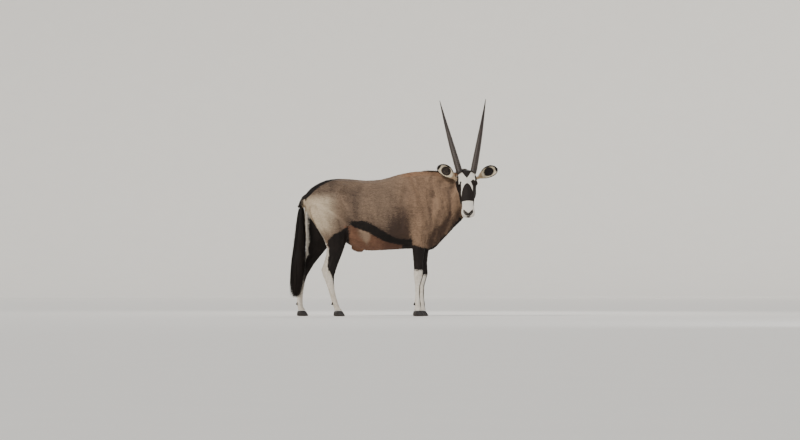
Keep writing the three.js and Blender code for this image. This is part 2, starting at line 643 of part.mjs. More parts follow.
// Trunk and neck in one, with the legs, the dock of the tail and the sheath grown on
const limbs = [
  ['front_right', FORELEG, LEG_SPREAD_FRONT, -1, 0],
  ['front_left', FORELEG, LEG_SPREAD_FRONT, 1, FAR_FORE_STEP],
  ['hind_right', HIND_FORWARD, LEG_SPREAD_HIND, -1, 0],
  ['hind_left', hindBackward, LEG_SPREAD_HIND, 1, 0],
];
let body = trunk();
let neck;
[neck, body] = part(body, [NECK_CUT_X, -FAR, -FAR], [FAR, FAR, FAR]);
body = body.add(sheath());
for (const [name, levels, spread, s, forward] of limbs) {
  const foot = levels[levels.length - 1];
  const fetlock = levels[levels.length - 3];
  const heel = foot.rear + forward - 6;
  let limb = leg(levels, spread, s, forward);
  for (const side of [-1, 1]) {
    limb = limb.add(dewclaw(fetlock.rear + forward + 3, s * spread + side * 14, fetlock.z - 6));
    addNode(`claw_${name}_${side * s > 0 ? 'outer' : 'inner'}`, claw(heel, s * spread, side), 'horn');
  }
  body = body.add(limb);
}
const tail = join([sweep(TAIL_PATH, { sides: 12, steps: 2 }), ...tailLocks()]);
const [dock, tailHair] = part(tail, [-FAR, -FAR, TAIL_CUT_Z], [FAR, FAR, FAR]);
addNode('tail', tailHair, 'black');
body = body.add(dock);

for (const [name, , , s, forward] of limbs) {
  const front = name.startsWith('front');
  const low = [front ? 60 : -FAR, s > 0 ? 0 : -FAR, -FAR];
  const high = [front ? NECK_CUT_X - 10 : -375, s > 0 ? FAR : 0, front ? FORE_CUT_Z : HIND_CUT_Z];
  let limb;
  [limb, body] = part(body, low, high);
  addNode(`leg_${name}`, limb, front ? 'black' : 'white');
}
addNode('torso', body, 'coat');

// Neck, with the mane's ridge let in along its crest and the head and ear roots let in at its end
const ridge = maneRidge(0);
const crestHair = join(maneLocks()).subtract(trunkGrown());
for (const [name, s] of sides) {
  const stalk = moved(earStalk(0), earMatrix(s));
  const socket = moved(earStalk(GAP), earMatrix(s));
  addNode(`ear_${name}`, stalk.add(moved(earShell(), earMatrix(s))), 'white');
  head = head.subtract(socket);
  neck = neck.subtract(socket).subtract(placed(horn(s, GAP)));
}
const headHollow = placed(join([headMass(2 * GAP), lids(-1, 2 * GAP), lids(1, 2 * GAP)]));
addNode('head', head, 'face');
addNode('neck', neck.subtract(headHollow).subtract(maneRidge(GAP)), 'coat');
addNode('mane', ridge.add(crestHair).subtract(headHollow), 'black');

// The origin is the middle of the floor under the whole animal
const bounds = new THREE.Box3().setFromObject(group);
const middle = bounds.getCenter(new THREE.Vector3());
group.position.set(-middle.x, -middle.y, -bounds.min.z);

export default group;
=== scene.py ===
"""Looks of a life-size gemsbok bull: skin, coat, horns, ears, eyes, hooves, tail and mane."""
import math

import bmesh
import bpy
import numpy as np
from mathutils import Matrix, Vector


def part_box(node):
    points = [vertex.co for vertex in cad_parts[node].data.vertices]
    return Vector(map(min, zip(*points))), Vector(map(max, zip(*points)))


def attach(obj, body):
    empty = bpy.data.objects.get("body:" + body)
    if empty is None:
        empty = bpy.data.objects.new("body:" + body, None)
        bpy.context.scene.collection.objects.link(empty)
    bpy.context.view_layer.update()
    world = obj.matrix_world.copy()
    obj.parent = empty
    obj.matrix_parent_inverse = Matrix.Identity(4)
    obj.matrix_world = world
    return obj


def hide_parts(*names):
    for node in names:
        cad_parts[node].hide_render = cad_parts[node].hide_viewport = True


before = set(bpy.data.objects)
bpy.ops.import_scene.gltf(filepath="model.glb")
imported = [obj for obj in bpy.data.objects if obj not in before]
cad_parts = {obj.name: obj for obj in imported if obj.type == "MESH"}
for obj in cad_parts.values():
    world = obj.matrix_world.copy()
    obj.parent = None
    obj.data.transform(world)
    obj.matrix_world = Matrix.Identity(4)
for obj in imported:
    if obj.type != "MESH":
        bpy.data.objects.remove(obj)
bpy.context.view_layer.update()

rng = np.random.default_rng(11)

LIMBS = ["front_right", "front_left", "hind_right", "hind_left"]
SIDES = (("right", -1), ("left", 1))
FLESH = ["torso", "neck", "head"] + ["leg_" + name for name in LIMBS]

# Where the source's own millimetres lie in the frame: one claw's rear face and inner face give the shift
CLAW_REAR, CLAW_INNER = 0.157, -0.103
claw_low, claw_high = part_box("claw_front_right_outer")
SHIFT = np.array([claw_low[0] - CLAW_REAR, claw_high[1] - CLAW_INNER, 0.0])


def to_mm(p):
    """Points of the frame, in the source's millimetres."""
    return (np.asarray(p) - SHIFT) * 1000


def to_m(p):
    """Points in the source's millimetres, in the frame."""
    return np.asarray(p) / 1000 + SHIFT


# The head's own axes: u from the poll to the nose, w to its left, v out of the face
POLL = np.array([600.0, -158.0, 1212.0])
TILT, PITCH = math.radians(-2), math.radians(68)
QUARTER = math.radians(-90)
HEAD = np.array(
    Matrix.Rotation(TILT, 3, "Y") @ Matrix.Rotation(QUARTER, 3, "Z") @ Matrix.Rotation(PITCH, 3, "Y"))


def head_local(mm):
    """Points in millimetres, as u, w and v of the head."""
    return (mm - POLL) @ HEAD


def head_world(local):
    """Points given as u, w and v of the head, in the source's millimetres."""
    return np.asarray(local) @ HEAD.T + POLL


def smooth(x, a, b):
    """0 at a and before, 1 at b and after."""
    t = np.clip((np.asarray(x, float) - a) / (b - a), 0, 1)
    return t * t * (3 - 2 * t)


def fade(x, a, b):
    """1 at a and before, 0 at b and after."""
    return 1 - smooth(x, a, b)


def above(x, edge, soft):
    """0 to 1 across an edge, over that much on each side of it."""
    return smooth(x, edge - soft, edge + soft)


def below(x, edge, soft):
    return 1 - above(x, edge, soft)


def band(x, middle, half, soft):
    """1 within half of the middle, 0 outside, with soft edges."""
    return below(np.abs(x - middle), half, soft)


def unit(v):
    """Vectors made 1 long."""
    return v / np.linalg.norm(v, axis=-1, keepdims=True)


def circle(count):
    """The angles of that many steps once round."""
    return np.linspace(0, 2 * math.pi, count, endpoint=False)


def waves(mm, scale, seed=0):
    """A smooth wobble from -1 to 1, of about that many millimetres."""
    out = np.zeros(len(mm))
    for k in range(4):
        way = np.array([
            math.sin(1.7 * k + seed), math.cos(2.3 * k + 0.7 * seed), math.sin(0.9 * k + 1.3 + seed)])
        out += np.sin(mm @ way * (2 * math.pi / scale) * (0.7 + 0.25 * k) + 5.1 * k + seed)
    return out / 4


# The left eye's place on the head, and the way it looks
EYE = np.array([104.0, 69.0, -38.0])
GAZE = np.array([0.12, 1.0, 0.42])
# The head's half width and the height of its lower edge, at places along it
HEAD_HALF = ([-30, 2, 45, 98, 145, 200, 260, 312, 375, 402], [60, 84, 96, 98, 88, 76, 66, 62, 66, 50])
HEAD_LOW = (
    [-40, 20, 60, 100, 140, 200, 265, 318, 400], [-150, -160, -184, -196, -194, -170, -146, -134, -130])


def head_share(mm):
    """1 on the head, 0 on the neck and the trunk."""
    u, w, v = head_local(mm).T
    # the left cheek is clear of the neck, so there the limit is wider
    half = np.interp(u, *HEAD_HALF) - 12 * smooth(-v, 70, 90) * fade(w, 0, 40) + 16 * smooth(w, 0, 40)
    down = smooth(v - np.interp(u, *HEAD_LOW), -10, 2)
    return smooth(u, -30, -12) * down * fade(np.abs(w) - half, -2, 8) * smooth(mm[:, 0], 440, 500)


# Markings. Each is a share from 0 to 1 at points given in millimetres.

FORE_LEVELS = [46, 108, 190, 255, 305, 350, 450, 520, 590, 655]
FORE_FRONT = [234, 225, 218, 221, 236, 247, 244, 252, 266, 280]
FAR_FORE_STEP = 35
HIND_LEVELS = [46, 76, 108, 155, 220, 285, 340, 388, 440, 505, 575, 650, 730, 820]
HIND_FRONT = [-424, -448, -460, -475, -489, -494, -490, -476, -458, -432, -407, -382, -370, -378]
HIND_REAR = [-494, -500, -516, -526, -546, -568, -592, -602, -584, -564, -557, -584, -636, -684]
HIND_BACK = [310, 306, 300, 284, 264, 247, 232, 218, 204, 178, 146, 106, 70, 36]


def hind_edges(y, z):
    """The rear and the front edge of the hind leg on that side, at that level."""
    left = smooth(y, -20, 20)
    back = np.interp(z, HIND_LEVELS, HIND_BACK) * left
    front = np.interp(z, HIND_LEVELS, HIND_FRONT) - back
    rear = np.interp(z, HIND_LEVELS, HIND_REAR) - back
    thigh = np.minimum(rear, -736 - 0.03 * (z - 575)) * smooth(z, 500, 530) + rear * fade(z, 500, 530)
    return rear * (1 - left) + thigh * left, front


def hind_share(x, y, z):
    """How far forward on a hind leg: 0 at its rear edge, 1 at its front edge."""
    rear, front = hind_edges(y, z)
    return (x - rear) / (front - rear)


# The flank stripe's upper and lower edge, from the fold of the thigh to the elbow
STRIPE_TOP = (
    [-350, -317, -250, -204, -150, -50, 50, 142, 190], [790, 792, 796, 786, 754, 694, 650, 640, 640])
STRIPE_LOW = ([-350, -283, -183, -83, 17, 148, 190], [752, 730, 684, 632, 606, 588, 588])
# The half width of the line of the back
SPINE = (
    [-780, -740, -690, -640, -560, -480, -420, -367, -250, 200, 330],
    [60, 78, 92, 94, 80, 54, 32, 17, 9, 7, 7])
# The rear edge of the thigh's black patch: how far forward it lies at each level
THIGH_START = (
    [150, 250, 300, 345, 383, 430, 500, 590, 660, 690], [1, 0.93, 0.84, 0.72, 0.5, 0.3, 0.17, 0.13, 0.2, 0.4])


# The middles of the dewclaws, a pair behind each fetlock
FETLOCKS = ((167, -102), (202, 102), (-513, -116), (-813, 116))
DEWCLAWS = np.array([(x, y + step, 102) for x, y in FETLOCKS for step in (-14, 14)])


def dewclaw_share(mm, reach=9.5):
    """1 on the dewclaws, 0 a little way off them."""
    near = np.minimum.reduce([np.linalg.norm((mm - at) / [1, 0.95, 1.6], axis=1) for at in DEWCLAWS])
    return fade(near, reach, reach + 3)


def body_black(mm, normal, jag, above_knee, fore, hind):
    x, y, z = mm.T
    side = np.abs(y)
    stripe_top, stripe_low = np.interp(x, *STRIPE_TOP), np.interp(x, *STRIPE_LOW)
    stripe = above(z + jag, stripe_low, 6) * below(z + jag, stripe_top, 9)
    stripe *= smooth(x + jag, -372, -338) * fade(x + jag, 140, 175) * smooth(side, 60, 90)
    garter_top = 606 - 0.24 * (x - 150)
    garter = above(z + jag, above_knee, 7) * below(z + jag, garter_top, 16) * fore
    shin = np.interp(z, FORE_LEVELS, FORE_FRONT) + np.where(y > 0, FAR_FORE_STEP, 0)
    # the dark line down the front of each foreleg: partly its own dark hair, partly painted shade between the
    # legs
    shin_line = smooth(x, shin - 15, shin - 6) * band(z, 230, 170, 40) * fore * 0.9
    share = hind_share(x, y, z)
    start = np.interp(z, *THIGH_START)
    thigh_top = 606 + 140 * np.clip(share, 0, 1)
    thigh = above(share + jag / 160, start, 0.05) * below(z + jag, thigh_top, 22)
    thigh *= hind * smooth(z, 120, 180) * smooth(side, 10, 30)
    # the far thigh is dark over its whole inner side, partly its own dark hair and partly painted shade from
    # the near leg
    inner = hind * smooth(-normal[:, 1] * np.sign(y), 0.1, 0.5) * smooth(side, 24, 40) * smooth(z, 430, 500)
    inner *= fade(z, 840, 890) * smooth(x - hind_edges(y, z)[0], 30, 50)
    spine = np.interp(x, *SPINE) * (0.4 + 0.6 * smooth(z, 925, 1030))
    back = fade(side + jag * 0.6, spine - 7, spine + 9) * smooth(z, 930, 960)
    back *= smooth(normal[:, 2], -0.1, 0.2)
    dock = fade(x, -762, -744) * smooth(z, 870, 890) * fade(side, 40, 50)
    throat = 0.92 * smooth(-normal[:, 2], 0.42, 0.7) * smooth(x, 270, 330)
    throat *= fade(side - 0.9 * np.maximum(x - 400, 0), 30, 50)
    return np.maximum.reduce([stripe, garter, shin_line, thigh, inner, back, dock, throat, dewclaw_share(mm)])


# The face: the half widths of the forehead's patch and of the blaze, and the edges of the eye's stripe
BROW = ([-20, 0, 20, 45, 76, 77], [60, 46, 34, 21, 0, -20])
BLAZE = ([117, 118, 124, 136, 158, 190, 233, 262, 280], [-20, 0, 12, 24, 36, 46, 51, 52, 46])
CHEEK_TOP = ([0, 40, 70, 104, 150, 200, 260, 310], [-44, -38, -20, -7, -18, -27, -32, -38])
CHEEK_LOW = (
    [0, 60, 104, 140, 180, 220, 250, 275, 310], [-60, -76, -102, -130, -152, -158, -144, -112, -84])


def face_black(mm, normal, jag):
    u, w, v = head_local(mm).T
    wide = np.abs(w)
    brow = fade(wide + jag * 0.3 - np.interp(u, *BROW), -4, 4) * smooth(v, -70, -50)
    blaze = fade(wide - np.interp(u, *BLAZE), -4, 4) * smooth(v, -52, -40)
    blaze *= fade(u + jag * 0.4, 268, 280)
    top = np.interp(u, *CHEEK_TOP) + 5 * smooth(w, -10, 10)
    low = np.interp(u, *CHEEK_LOW)
    cheek = above(v + jag * 0.3, low, 4) * below(v + jag * 0.3, top, 4)
    cheek *= smooth(u, -6, 8) * fade(u + jag * 0.3, 306, 320) * smooth(wide, 24, 34)
    jaw_v = np.interp(u, [20, 60, 110, 170], [-84, -112, -160, -192])
    jaw = band(v, jaw_v, 13, 4) * smooth(u, 28, 44) * smooth(wide, 18, 28) * fade(u, 170, 200)
    chin_line = band(w, 0, 10, 4) * smooth(-normal @ HEAD[:, 2], 0.5, 0.8) * fade(u, 250, 320)
    eye_side = np.sqrt((u - EYE[0]) ** 2 + (wide - EYE[1]) ** 2 + (v - EYE[2]) ** 2)
    cheek = np.maximum(cheek, fade(eye_side + jag * 0.3, 27, 33))
    temple = smooth(wide + jag * 0.3, 65, 71) * band(u, 88, 46, 10) * smooth(v, -72, -62)
    cheek = np.maximum(cheek, temple)
    lip = band(v, -96, 3.5, 2.5) * smooth(u, 308, 330) * 0.7
    return np.maximum.reduce([brow, blaze, cheek, jaw, chin_line, nose_pad(u, wide, v), lip])


def nose_pad(u, wide, v):
    """The bare skin: two broad arms from the nostrils that meet on the lip, paler between them."""
    arms = fade(np.abs(u - 397 + 0.95 * wide) / 1.4, 7, 19)
    arms *= fade(wide, 36, 50)
    between = smooth(u, 352, 380) * fade(wide, 14, 34)
    return np.maximum(0.64 * arms, 0.46 * between) * smooth(v, -84, -72)


def markings(mm, normal):
    x, y, z = mm.T
    u, _, v = head_local(mm).T
    jag = waves(mm, 90, 1) * 5 + waves(mm, 23, 2) * 2.5
    on_head = head_share(mm)
    fore = smooth(x, 60, 100) * fade(x, 345, 375) * fade(z, 640, 680)
    hind = fade(x, -372, -350)
    above_knee = np.where(y > 0, 352, 386)
    black = body_black(mm, normal, jag, above_knee, fore, hind) * (1 - on_head)
    on_face = smooth(on_head, 0.5, 0.85)
    black = np.clip(black + face_black(mm, normal, jag) * on_face, 0, 1)

    # white of the face, the lower legs, the thigh's rear margin and a patch of the belly
    face_white = on_face * smooth(u, -6, 14) * smooth(v, -150, -130)
    low_fore = fade(z + jag, above_knee - 6, above_knee + 14) * fore
    low_hind = fade(z + jag, 500, 620) * hind
    # each thigh's pale rear margin is its own pale hair; the far thigh's wider, higher margin is partly
    # painted sunlight on its rear edge
    margin = np.where(y > 0, 44, 15) + jag * 0.4
    from_rear = x - hind_edges(y, z)[0]
    buttock = hind * below(from_rear, margin, 5) * smooth(z, 350, 420)
    buttock *= fade(z + 4 * jag, np.where(y > 0, 820, 700), np.where(y > 0, 935, 800))
    white = np.clip(np.maximum.reduce([face_white, low_fore, low_hind, buttock]), 0, 1)

    # painted shade on the thin hair of the belly and groin, tinted by painted red bounce light; browner neck
    # and shoulder; painted sunlight along the top of the neck and back; paler rump, partly its own tone and
    # partly painted sunlight
    shaded_belly = fade(z + jag, np.interp(x, *STRIPE_LOW) - 8, np.interp(x, *STRIPE_LOW) + 8) * smooth(z, 500, 540)
    shaded_belly *= smooth(x, -440, -380) * fade(x, 70, 150)
    brown = smooth(x, -60, 240) * (1 - on_head)
    # painted sunlight on the upward-facing top of the neck and back
    crest = smooth(normal[:, 2], 0.6, 0.95) * smooth(x, 40, 140) * (1 - on_head)
    # the rump's own paler tone, partly painted sunlight on its rear
    rump = fade(x + 2 * jag, -590, -420) * smooth(z, 640, 760)
    rump *= (1 - 0.9 * smooth(z, 955, 1040)) * (1 - shaded_belly)
    # a pale wedge on the belly, its point down: painted sunlight on the belly's white hair
    wedge = 58 * smooth(z, 575, 690)
    light = fade(np.abs(x + 222 + 0.2 * (z - 650)) + 2 * jag, wedge - 30, wedge + 12) * smooth(z, 560, 610)
    pale_and_sunlit = np.maximum(rump, 0.4 * light * shaded_belly)
    return {"black": black, "white": white, "brown": brown, "pale_and_sunlit": pale_and_sunlit, "shaded_belly": shaded_belly, "crest": crest,
            "shade": coat_shade(mm, on_head)}


def coat_shade(mm, on_head):
    """Light and dark over the coat, about 0.5: broad patches of tone, painted light and shade along the folds
    of the neck, painted shade in the hollows, low on the trunk and on the chest, and painted light high on
    the trunk and on the shoulder.
    """
    x, _, z = mm.T
    u, _, v = head_local(mm).T
    blotches = 0.2 * waves(mm, 170, 3) + 0.12 * waves(mm, 50, 4) + 0.14 * waves(mm, 21, 5)
    shade = 0.5 + blotches * (1 - 0.5 * smooth(x, 280, 360))
    on_neck = smooth(x, 240, 340) * (1 - on_head)
    # painted light and shade along the folds of the neck
    shade += 0.62 * neck_folds(mm) * on_neck * (0.35 + 0.65 * fade(z, 1050, 1170))
    trunk = smooth(x, -330, -250) * fade(x, 60, 140)
    # painted light high on the trunk and painted shade low on it
    shade += trunk * (0.2 * smooth(z, 950, 1130) - 0.3 * fade(z, 640, 860))
    shade -= 0.4 * fade(x, -520, -420) * smooth(z, 950, 1040)
    shade -= 0.12 * fade(x, -420, -330) * smooth(z, 940, 1060)
    # painted shade in the hollows before the thigh and behind the elbow, on the low flank and on the chest;
    # painted light on the shoulder
    shade -= 0.5 * band(x, -314, 44, 42) * fade(z, 1030, 1100) * smooth(z, 690, 760)
    shade -= 0.9 * band(x, 74, 78, 62) * fade(z, 740, 990) * smooth(z, 590, 640)
    shade -= 0.6 * smooth(x, -130, -30) * fade(x, 120, 150) * fade(z, 690, 810)
    shade += 0.22 * band(x, 205, 62, 40) * fade(z, 780, 900) * smooth(z, 590, 640)
    shade -= 0.95 * smooth(x, 255, 320) * fade(z - 0.667 * (x - 291), 650, 780) * (1 - on_head)
    # streaks down the white legs, their shaded hind parts, the clean white face, the lips and the nose
    shade += 0.25 * fade(z, 480, 560) * np.sin(x / 5.5 + 2 * waves(mm, 120, 6)) * waves(mm, 60, 8)
    shade -= 0.3 * fade(z, 500, 600) * fade(x, -380, -340)
    shade += 0.24 * on_head
    shade -= on_head * (0.3 * band(v, -92, 16, 14) * smooth(u, 290, 320) + 0.2 * smooth(u, 372, 396))
    return shade


def neck_folds(mm):
    """The loose folds that run down the neck where it bends, from -1 to 1."""
    x, _, z = mm.T
    lean = x * 0.86 - z * 0.16 + 14 * np.sin(z / 75) + 30 * waves(mm, 260, 9) + 7 * waves(mm, 90, 10)
    depth = 0.55 + 0.45 * waves(mm, 150, 12)
    return depth * np.sin(lean / 10.5) + 0.35 * np.sin(lean / 24 + 1)


# Meshes

def add_object(name, data):
    """A new object in the scene that holds the data."""
    obj = bpy.data.objects.new(name, data)
    bpy.context.scene.collection.objects.link(obj)
    return obj


def shade_smooth(mesh):
    mesh.polygons.foreach_set("use_smooth", [True] * len(mesh.polygons))


def new_object(name, verts, faces):
    """A smooth mesh in an object of its own."""
    mesh = bpy.data.meshes.new(name)
    mesh.from_pydata(verts.tolist(), [], faces)
    mesh.validate()
    mesh.update()
    shade_smooth(mesh)
    return add_object(name, mesh)


def applied(obj):
    """The object's mesh as its modifiers leave it."""
    return bpy.data.meshes.new_from_object(obj.evaluated_get(bpy.context.evaluated_depsgraph_get()))


def solid_of(name):
    """A CAD node's mesh where it stands, its split corners joined."""
    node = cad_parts[name]
    part = bmesh.new()
    part.from_mesh(node.data)
    part.transform(node.matrix_world)
    bmesh.ops.remove_doubles(part, verts=part.verts, dist=2e-5)
    return part


def read(items, key, wide, kind=np.int32):
    """One property of a mesh's vertices, edges, triangles or corners, a row for each."""
    out = np.empty(len(items) * wide, dtype=kind)
    items.foreach_get(key, out)
    return out.reshape(-1, wide)


def coords(mesh):
    return read(mesh.vertices, "co", 3, float)


def normals(mesh):
    return read(mesh.vertices, "normal", 3, np.float32).astype(float)


def set_coords(mesh, co):
    mesh.vertices.foreach_set("co", np.ascontiguousarray(co, dtype=np.float32).ravel())
    mesh.update()


def set_shares(mesh, **shares):
    """Values for each vertex, which the materials read by their names."""
    for name, values in shares.items():
        attribute = mesh.attributes.new(name, "FLOAT", "POINT")
        attribute.data.foreach_set("value", np.asarray(values, dtype=np.float32))


# Each flesh solid is swollen by this much, in metres, so that the thin cuts between them close
SWELL = 0.00045
SOCKET_RADIUS = 0.0215


def flesh_mesh():
    """All the flesh nodes in one mesh."""
    whole = bmesh.new()
    for name in FLESH:
        part = solid_of(name)
        part.normal_update()
        for vert in part.verts:
            vert.co += vert.normal * SWELL
        copy = bpy.data.meshes.new("part")
        part.to_mesh(copy)
        part.free()
        whole.from_mesh(copy)
        bpy.data.meshes.remove(copy)
    # the sockets of the eyes are filled here, and the lids are modelled again below
    for _, s in SIDES:
        centre = Matrix.Translation(Vector(to_m(head_world(EYE * [1, s, 1]))))
        bmesh.ops.create_icosphere(whole, subdivisions=3, radius=SOCKET_RADIUS, matrix=centre)
    mesh = bpy.data.meshes.new("flesh")
    whole.to_mesh(mesh)
    whole.free()
    return mesh


# The remesh runs in a space that is stretched round the head, so that the skin is finer there
FINE_CENTRE = to_m(head_world([180, 0, -70]))
FINE_RADIUS, FINE = 0.33, 2.2
VOXEL = 0.0066


def stretch(co, back=False):
    """Points taken into the stretched space, or back out of it."""
    d = co - FINE_CENTRE
    r = np.linalg.norm(d, axis=1, keepdims=True)
    if back:
        far = np.where(r < FINE_RADIUS * FINE, r / FINE, r - FINE_RADIUS * (FINE - 1))
    else:
        far = np.where(r < FINE_RADIUS, r * FINE, r + FINE_RADIUS * (FINE - 1))
    return FINE_CENTRE + d / np.maximum(r, 1e-9) * far


def remeshed(mesh):
    """The mesh as one closed skin of even quads."""
    obj = add_object("remesh", mesh)
    modifier = obj.modifiers.new("Remesh", "REMESH")
    modifier.mode = "VOXEL"
    modifier.voxel_size = VOXEL
    out = applied(obj)
    bpy.data.objects.remove(obj)
    return out


def relax(co, edges, strength, rounds):
    """Smooths without shrinking: a step in and a step out. strength may differ from vertex to vertex."""
    a, b = edges.T
    count = np.bincount(a, minlength=len(co)) + np.bincount(b, minlength=len(co))
    for k in range(rounds * 2):
        total = np.stack([np.bincount(a, v[b], len(co)) + np.bincount(b, v[a], len(co)) for v in co.T], 1)
        step = 0.55 if k % 2 == 0 else -0.56
        co = co + (total / count[:, None] - co) * (step * strength)[:, None]
    return co


# Muscle and bone under the skin: how high a ridge is, or how deep a hollow, its width, and its line
# of (x, z) points on the side of the body
RELIEF = [
    (6, 26, (150, 1120), (215, 960), (265, 760)),
    (5, 30, (265, 770), (180, 690), (140, 640)),
    (-7, 26, (120, 1060), (95, 900), (80, 740)),
    (8, 26, (-400, 1070), (-440, 1040)),
    (-5, 60, (-330, 1060), (-330, 900)),
    (5, 24, (-372, 770), (-400, 880), (-440, 960)),
    (-6, 22, (-330, 820), (-352, 690)),
    (5, 26, (-700, 900), (-640, 800), (-600, 700)),
]
RIBS = [(0.9, 11, (top + 30, 990), (top, 860), (top + 16, 740)) for top in range(-250, 45, 42)]


def form(mm, normal):
    """How far, in millimetres, muscle, bone and folds lift the skin along its normal."""
    x, y, z = mm.T
    u, w, v = head_local(mm).T
    on_head = head_share(mm)
    lateral = smooth(np.abs(normal[:, 1]), 0.25, 0.7)
    out = np.zeros(len(mm))
    for height, width, *points in RELIEF + RIBS:
        best = np.full(len(mm), 1e9)
        for (x0, z0), (x1, z1) in zip(points, points[1:]):
            dx, dz = x1 - x0, z1 - z0
            t = np.clip(((x - x0) * dx + (z - z0) * dz) / (dx * dx + dz * dz), 0, 1)
            best = np.minimum(best, np.hypot(x - x0 - t * dx, z - z0 - t * dz))
        out += height * np.exp(-((best / width) ** 2)) * lateral
    # loose skin gathers in folds across the neck where it bends
    on_neck = smooth(x, 280, 400) * (1 - on_head) * fade(y, -50, 40) * fade(z, 1140, 1190)
    out += on_neck * 3.0 * neck_folds(mm)
    # hock and knee
    leg = fade(z, 480, 560)
    share = hind_share(x, y, z)
    out -= leg * fade(x, -372, -350) * band(share, 0.36, 0.1, 0.08) * band(z, 470, 60, 50) * 5
    out += leg * smooth(x, 60, 100) * band(z, 368, 16, 14) * 2.5 * smooth(normal[:, 0], 0.2, 0.8)
    # the head: the line of the mouth, the lip over it, the hollow before the eye, the groove by the nose
    wide = np.abs(w)
    reach = np.clip(wide / 76, 0, 1)
    mouth_u = 306 + 92 * (1 - reach ** 2.4)
    at_mouth = on_head * smooth(u, 284, 304)
    mouth_v = -99 + 7 * (1 - reach)
    out -= at_mouth * 5.5 * np.exp(-(((v - mouth_v) / 2.6) ** 2)) * (np.abs(u - mouth_u) < 60)
    out += at_mouth * 1.6 * np.exp(-(((v - mouth_v - 8) / 5) ** 2))
    out -= on_head * 4 * np.exp(-(((u - 150) / 22) ** 2 + ((v + 48) / 10) ** 2)) * smooth(wide, 42, 58)
    out -= on_head * 2.5 * np.exp(-(((wide - 30) / 9) ** 2)) * band(u, 230, 80, 40) * smooth(v, -40, -20)
    return out


# The lids, in millimetres from the eye's middle: their outside, their rim, the skin behind the eyeball,
# and the half length of the opening
LID, LID_RIM, LID_INSIDE, LID_HALF = 22.4, 20.6, 16.6, 19.5


def carve_lids(mm):
    """Opens the lids as an almond: skin inside it drops behind the eyeball, and its rim stands round it."""
    local = head_local(mm)
    for _, s in SIDES:
        centre = EYE * [1, s, 1]
        d = local - centre
        r = np.linalg.norm(d, axis=1)
        gaze = unit(GAZE * [1, s, 1])
        level = unit(np.array([1, 0, 0]) - gaze * gaze[0])
        upward = np.cross(level, gaze) * s
        near = (r < 34) & (d @ gaze > 4)
        # the almond, in the plane across the gaze
        a, b = d @ level + 0.18 * d @ upward, d @ upward - 0.22 * d @ level + 1
        half = np.where(b > 0, 10.6, 9.0) * np.sqrt(np.clip(1 - (a / LID_HALF) ** 2, 0, 1))
        gap = np.abs(b) - half
        inside = near & (gap < 0) & (np.abs(a) < LID_HALF)
        rim = near & (gap >= -1.6) & (gap < 2.2) & (np.abs(a) < LID_HALF + 1)
        # the lids' swelling eases off away from the opening
        swelling = np.where((gap < 9) & (r < 24), LID, np.minimum(r, LID + 12 * smooth(gap, 7, 26)))
        target = np.where(rim, LID_RIM, np.where(inside, LID_INSIDE, swelling))
        outward = d / np.maximum(r, 1e-6)[:, None]
        local[near] = (centre + outward * target[:, None])[near]
    return head_world(local)


# The skin lies this far inside the solids, and ends at the level of the coronets
COAT_DEPTH = 2.6
CORONET = 44


def build_skin():
    mesh = flesh_mesh()
    set_coords(mesh, stretch(coords(mesh)))
    out = remeshed(mesh)
    co = stretch(coords(out), back=True)
    on_head = head_share(to_mm(co))
    co = relax(co, read(out.edges, "vertices", 2), 1 - 0.75 * on_head, 9)
    set_coords(out, co)
    mm, n = to_mm(co), normals(out)
    lift = form(mm, n) - COAT_DEPTH * (1 - 0.6 * on_head)
    mm = carve_lids(mm + n * lift[:, None])
    mm[:, 2] = np.maximum(mm[:, 2], CORONET)
    set_coords(out, to_m(mm))
    shade_smooth(out)
    return add_object("skin", out)


# The unwrap takes the trunk from its rear end on, round a middle at this level, and the legs below theirs
REAR, TRUNK_LENGTH, TRUNK_LEVEL, LEG_TOP = -860, 1600, 860, 560


def unwrap(mm):
    """The bake's map: the trunk, the head and each leg open as a cylinder into a strip of its own."""
    x, y, z = mm.T
    u, w, v = head_local(mm).T
    on_head = head_share(mm) > 0.5
    low = (z < LEG_TOP) & ~on_head
    uv = np.empty((len(mm), 2))
    around = np.arctan2(y, z - TRUNK_LEVEL) / (2 * math.pi) + 0.5
    uv[:, 0] = 0.02 + 0.66 * (x - REAR) / TRUNK_LENGTH
    uv[:, 1] = 0.02 + 0.60 * around
    turn = np.arctan2(w, v + 80) / (2 * math.pi) + 0.5
    uv[on_head, 0] = (0.02 + 0.46 * (u + 60) / 520)[on_head]
    uv[on_head, 1] = (0.66 + 0.32 * turn)[on_head]
    for k in range(4):
        hind, left = k // 2, k % 2
        mine = low & ((x > -150) != hind) & ((y > 0) == left)
        mid_x = sum(hind_edges(y, z)) / 2 if hind else 205 + FAR_FORE_STEP * left
        mid_y = (116 if hind else 102) * (2 * left - 1)
        angle = np.arctan2(y - mid_y, x - mid_x) / (2 * math.pi) + 0.5
        uv[mine, 0] = (0.72 + 0.13 * left + 0.12 * angle)[mine]
        uv[mine, 1] = (0.02 + 0.48 * hind + 0.44 * z / 600)[mine]
    return uv


def flow(mm, normal):
    """The way the hair lies, along the surface."""
    x, _, z = mm.T
    on_head = head_share(mm)[:, None]
    leg = fade(z, 520, 700)[:, None]
    neck = (smooth(x, 250, 420))[:, None]
    way = np.array([-0.93, 0, -0.3]) * (1 - neck) + np.array([-0.7, 0.25, -0.6]) * neck
    way = way * (1 - leg) + np.array([-0.12, 0, -1]) * leg
    way = way * (1 - on_head) + (HEAD @ np.array([-1, 0, -0.15])) * on_head
    swirl = waves(mm, 220, 7)[:, None] * 0.16
    way = way + np.cross(normal, way) * swirl
    way = way - normal * np.sum(way * normal, axis=1, keepdims=True)
    return way / np.maximum(np.linalg.norm(way, axis=1, keepdims=True), 1e-6)


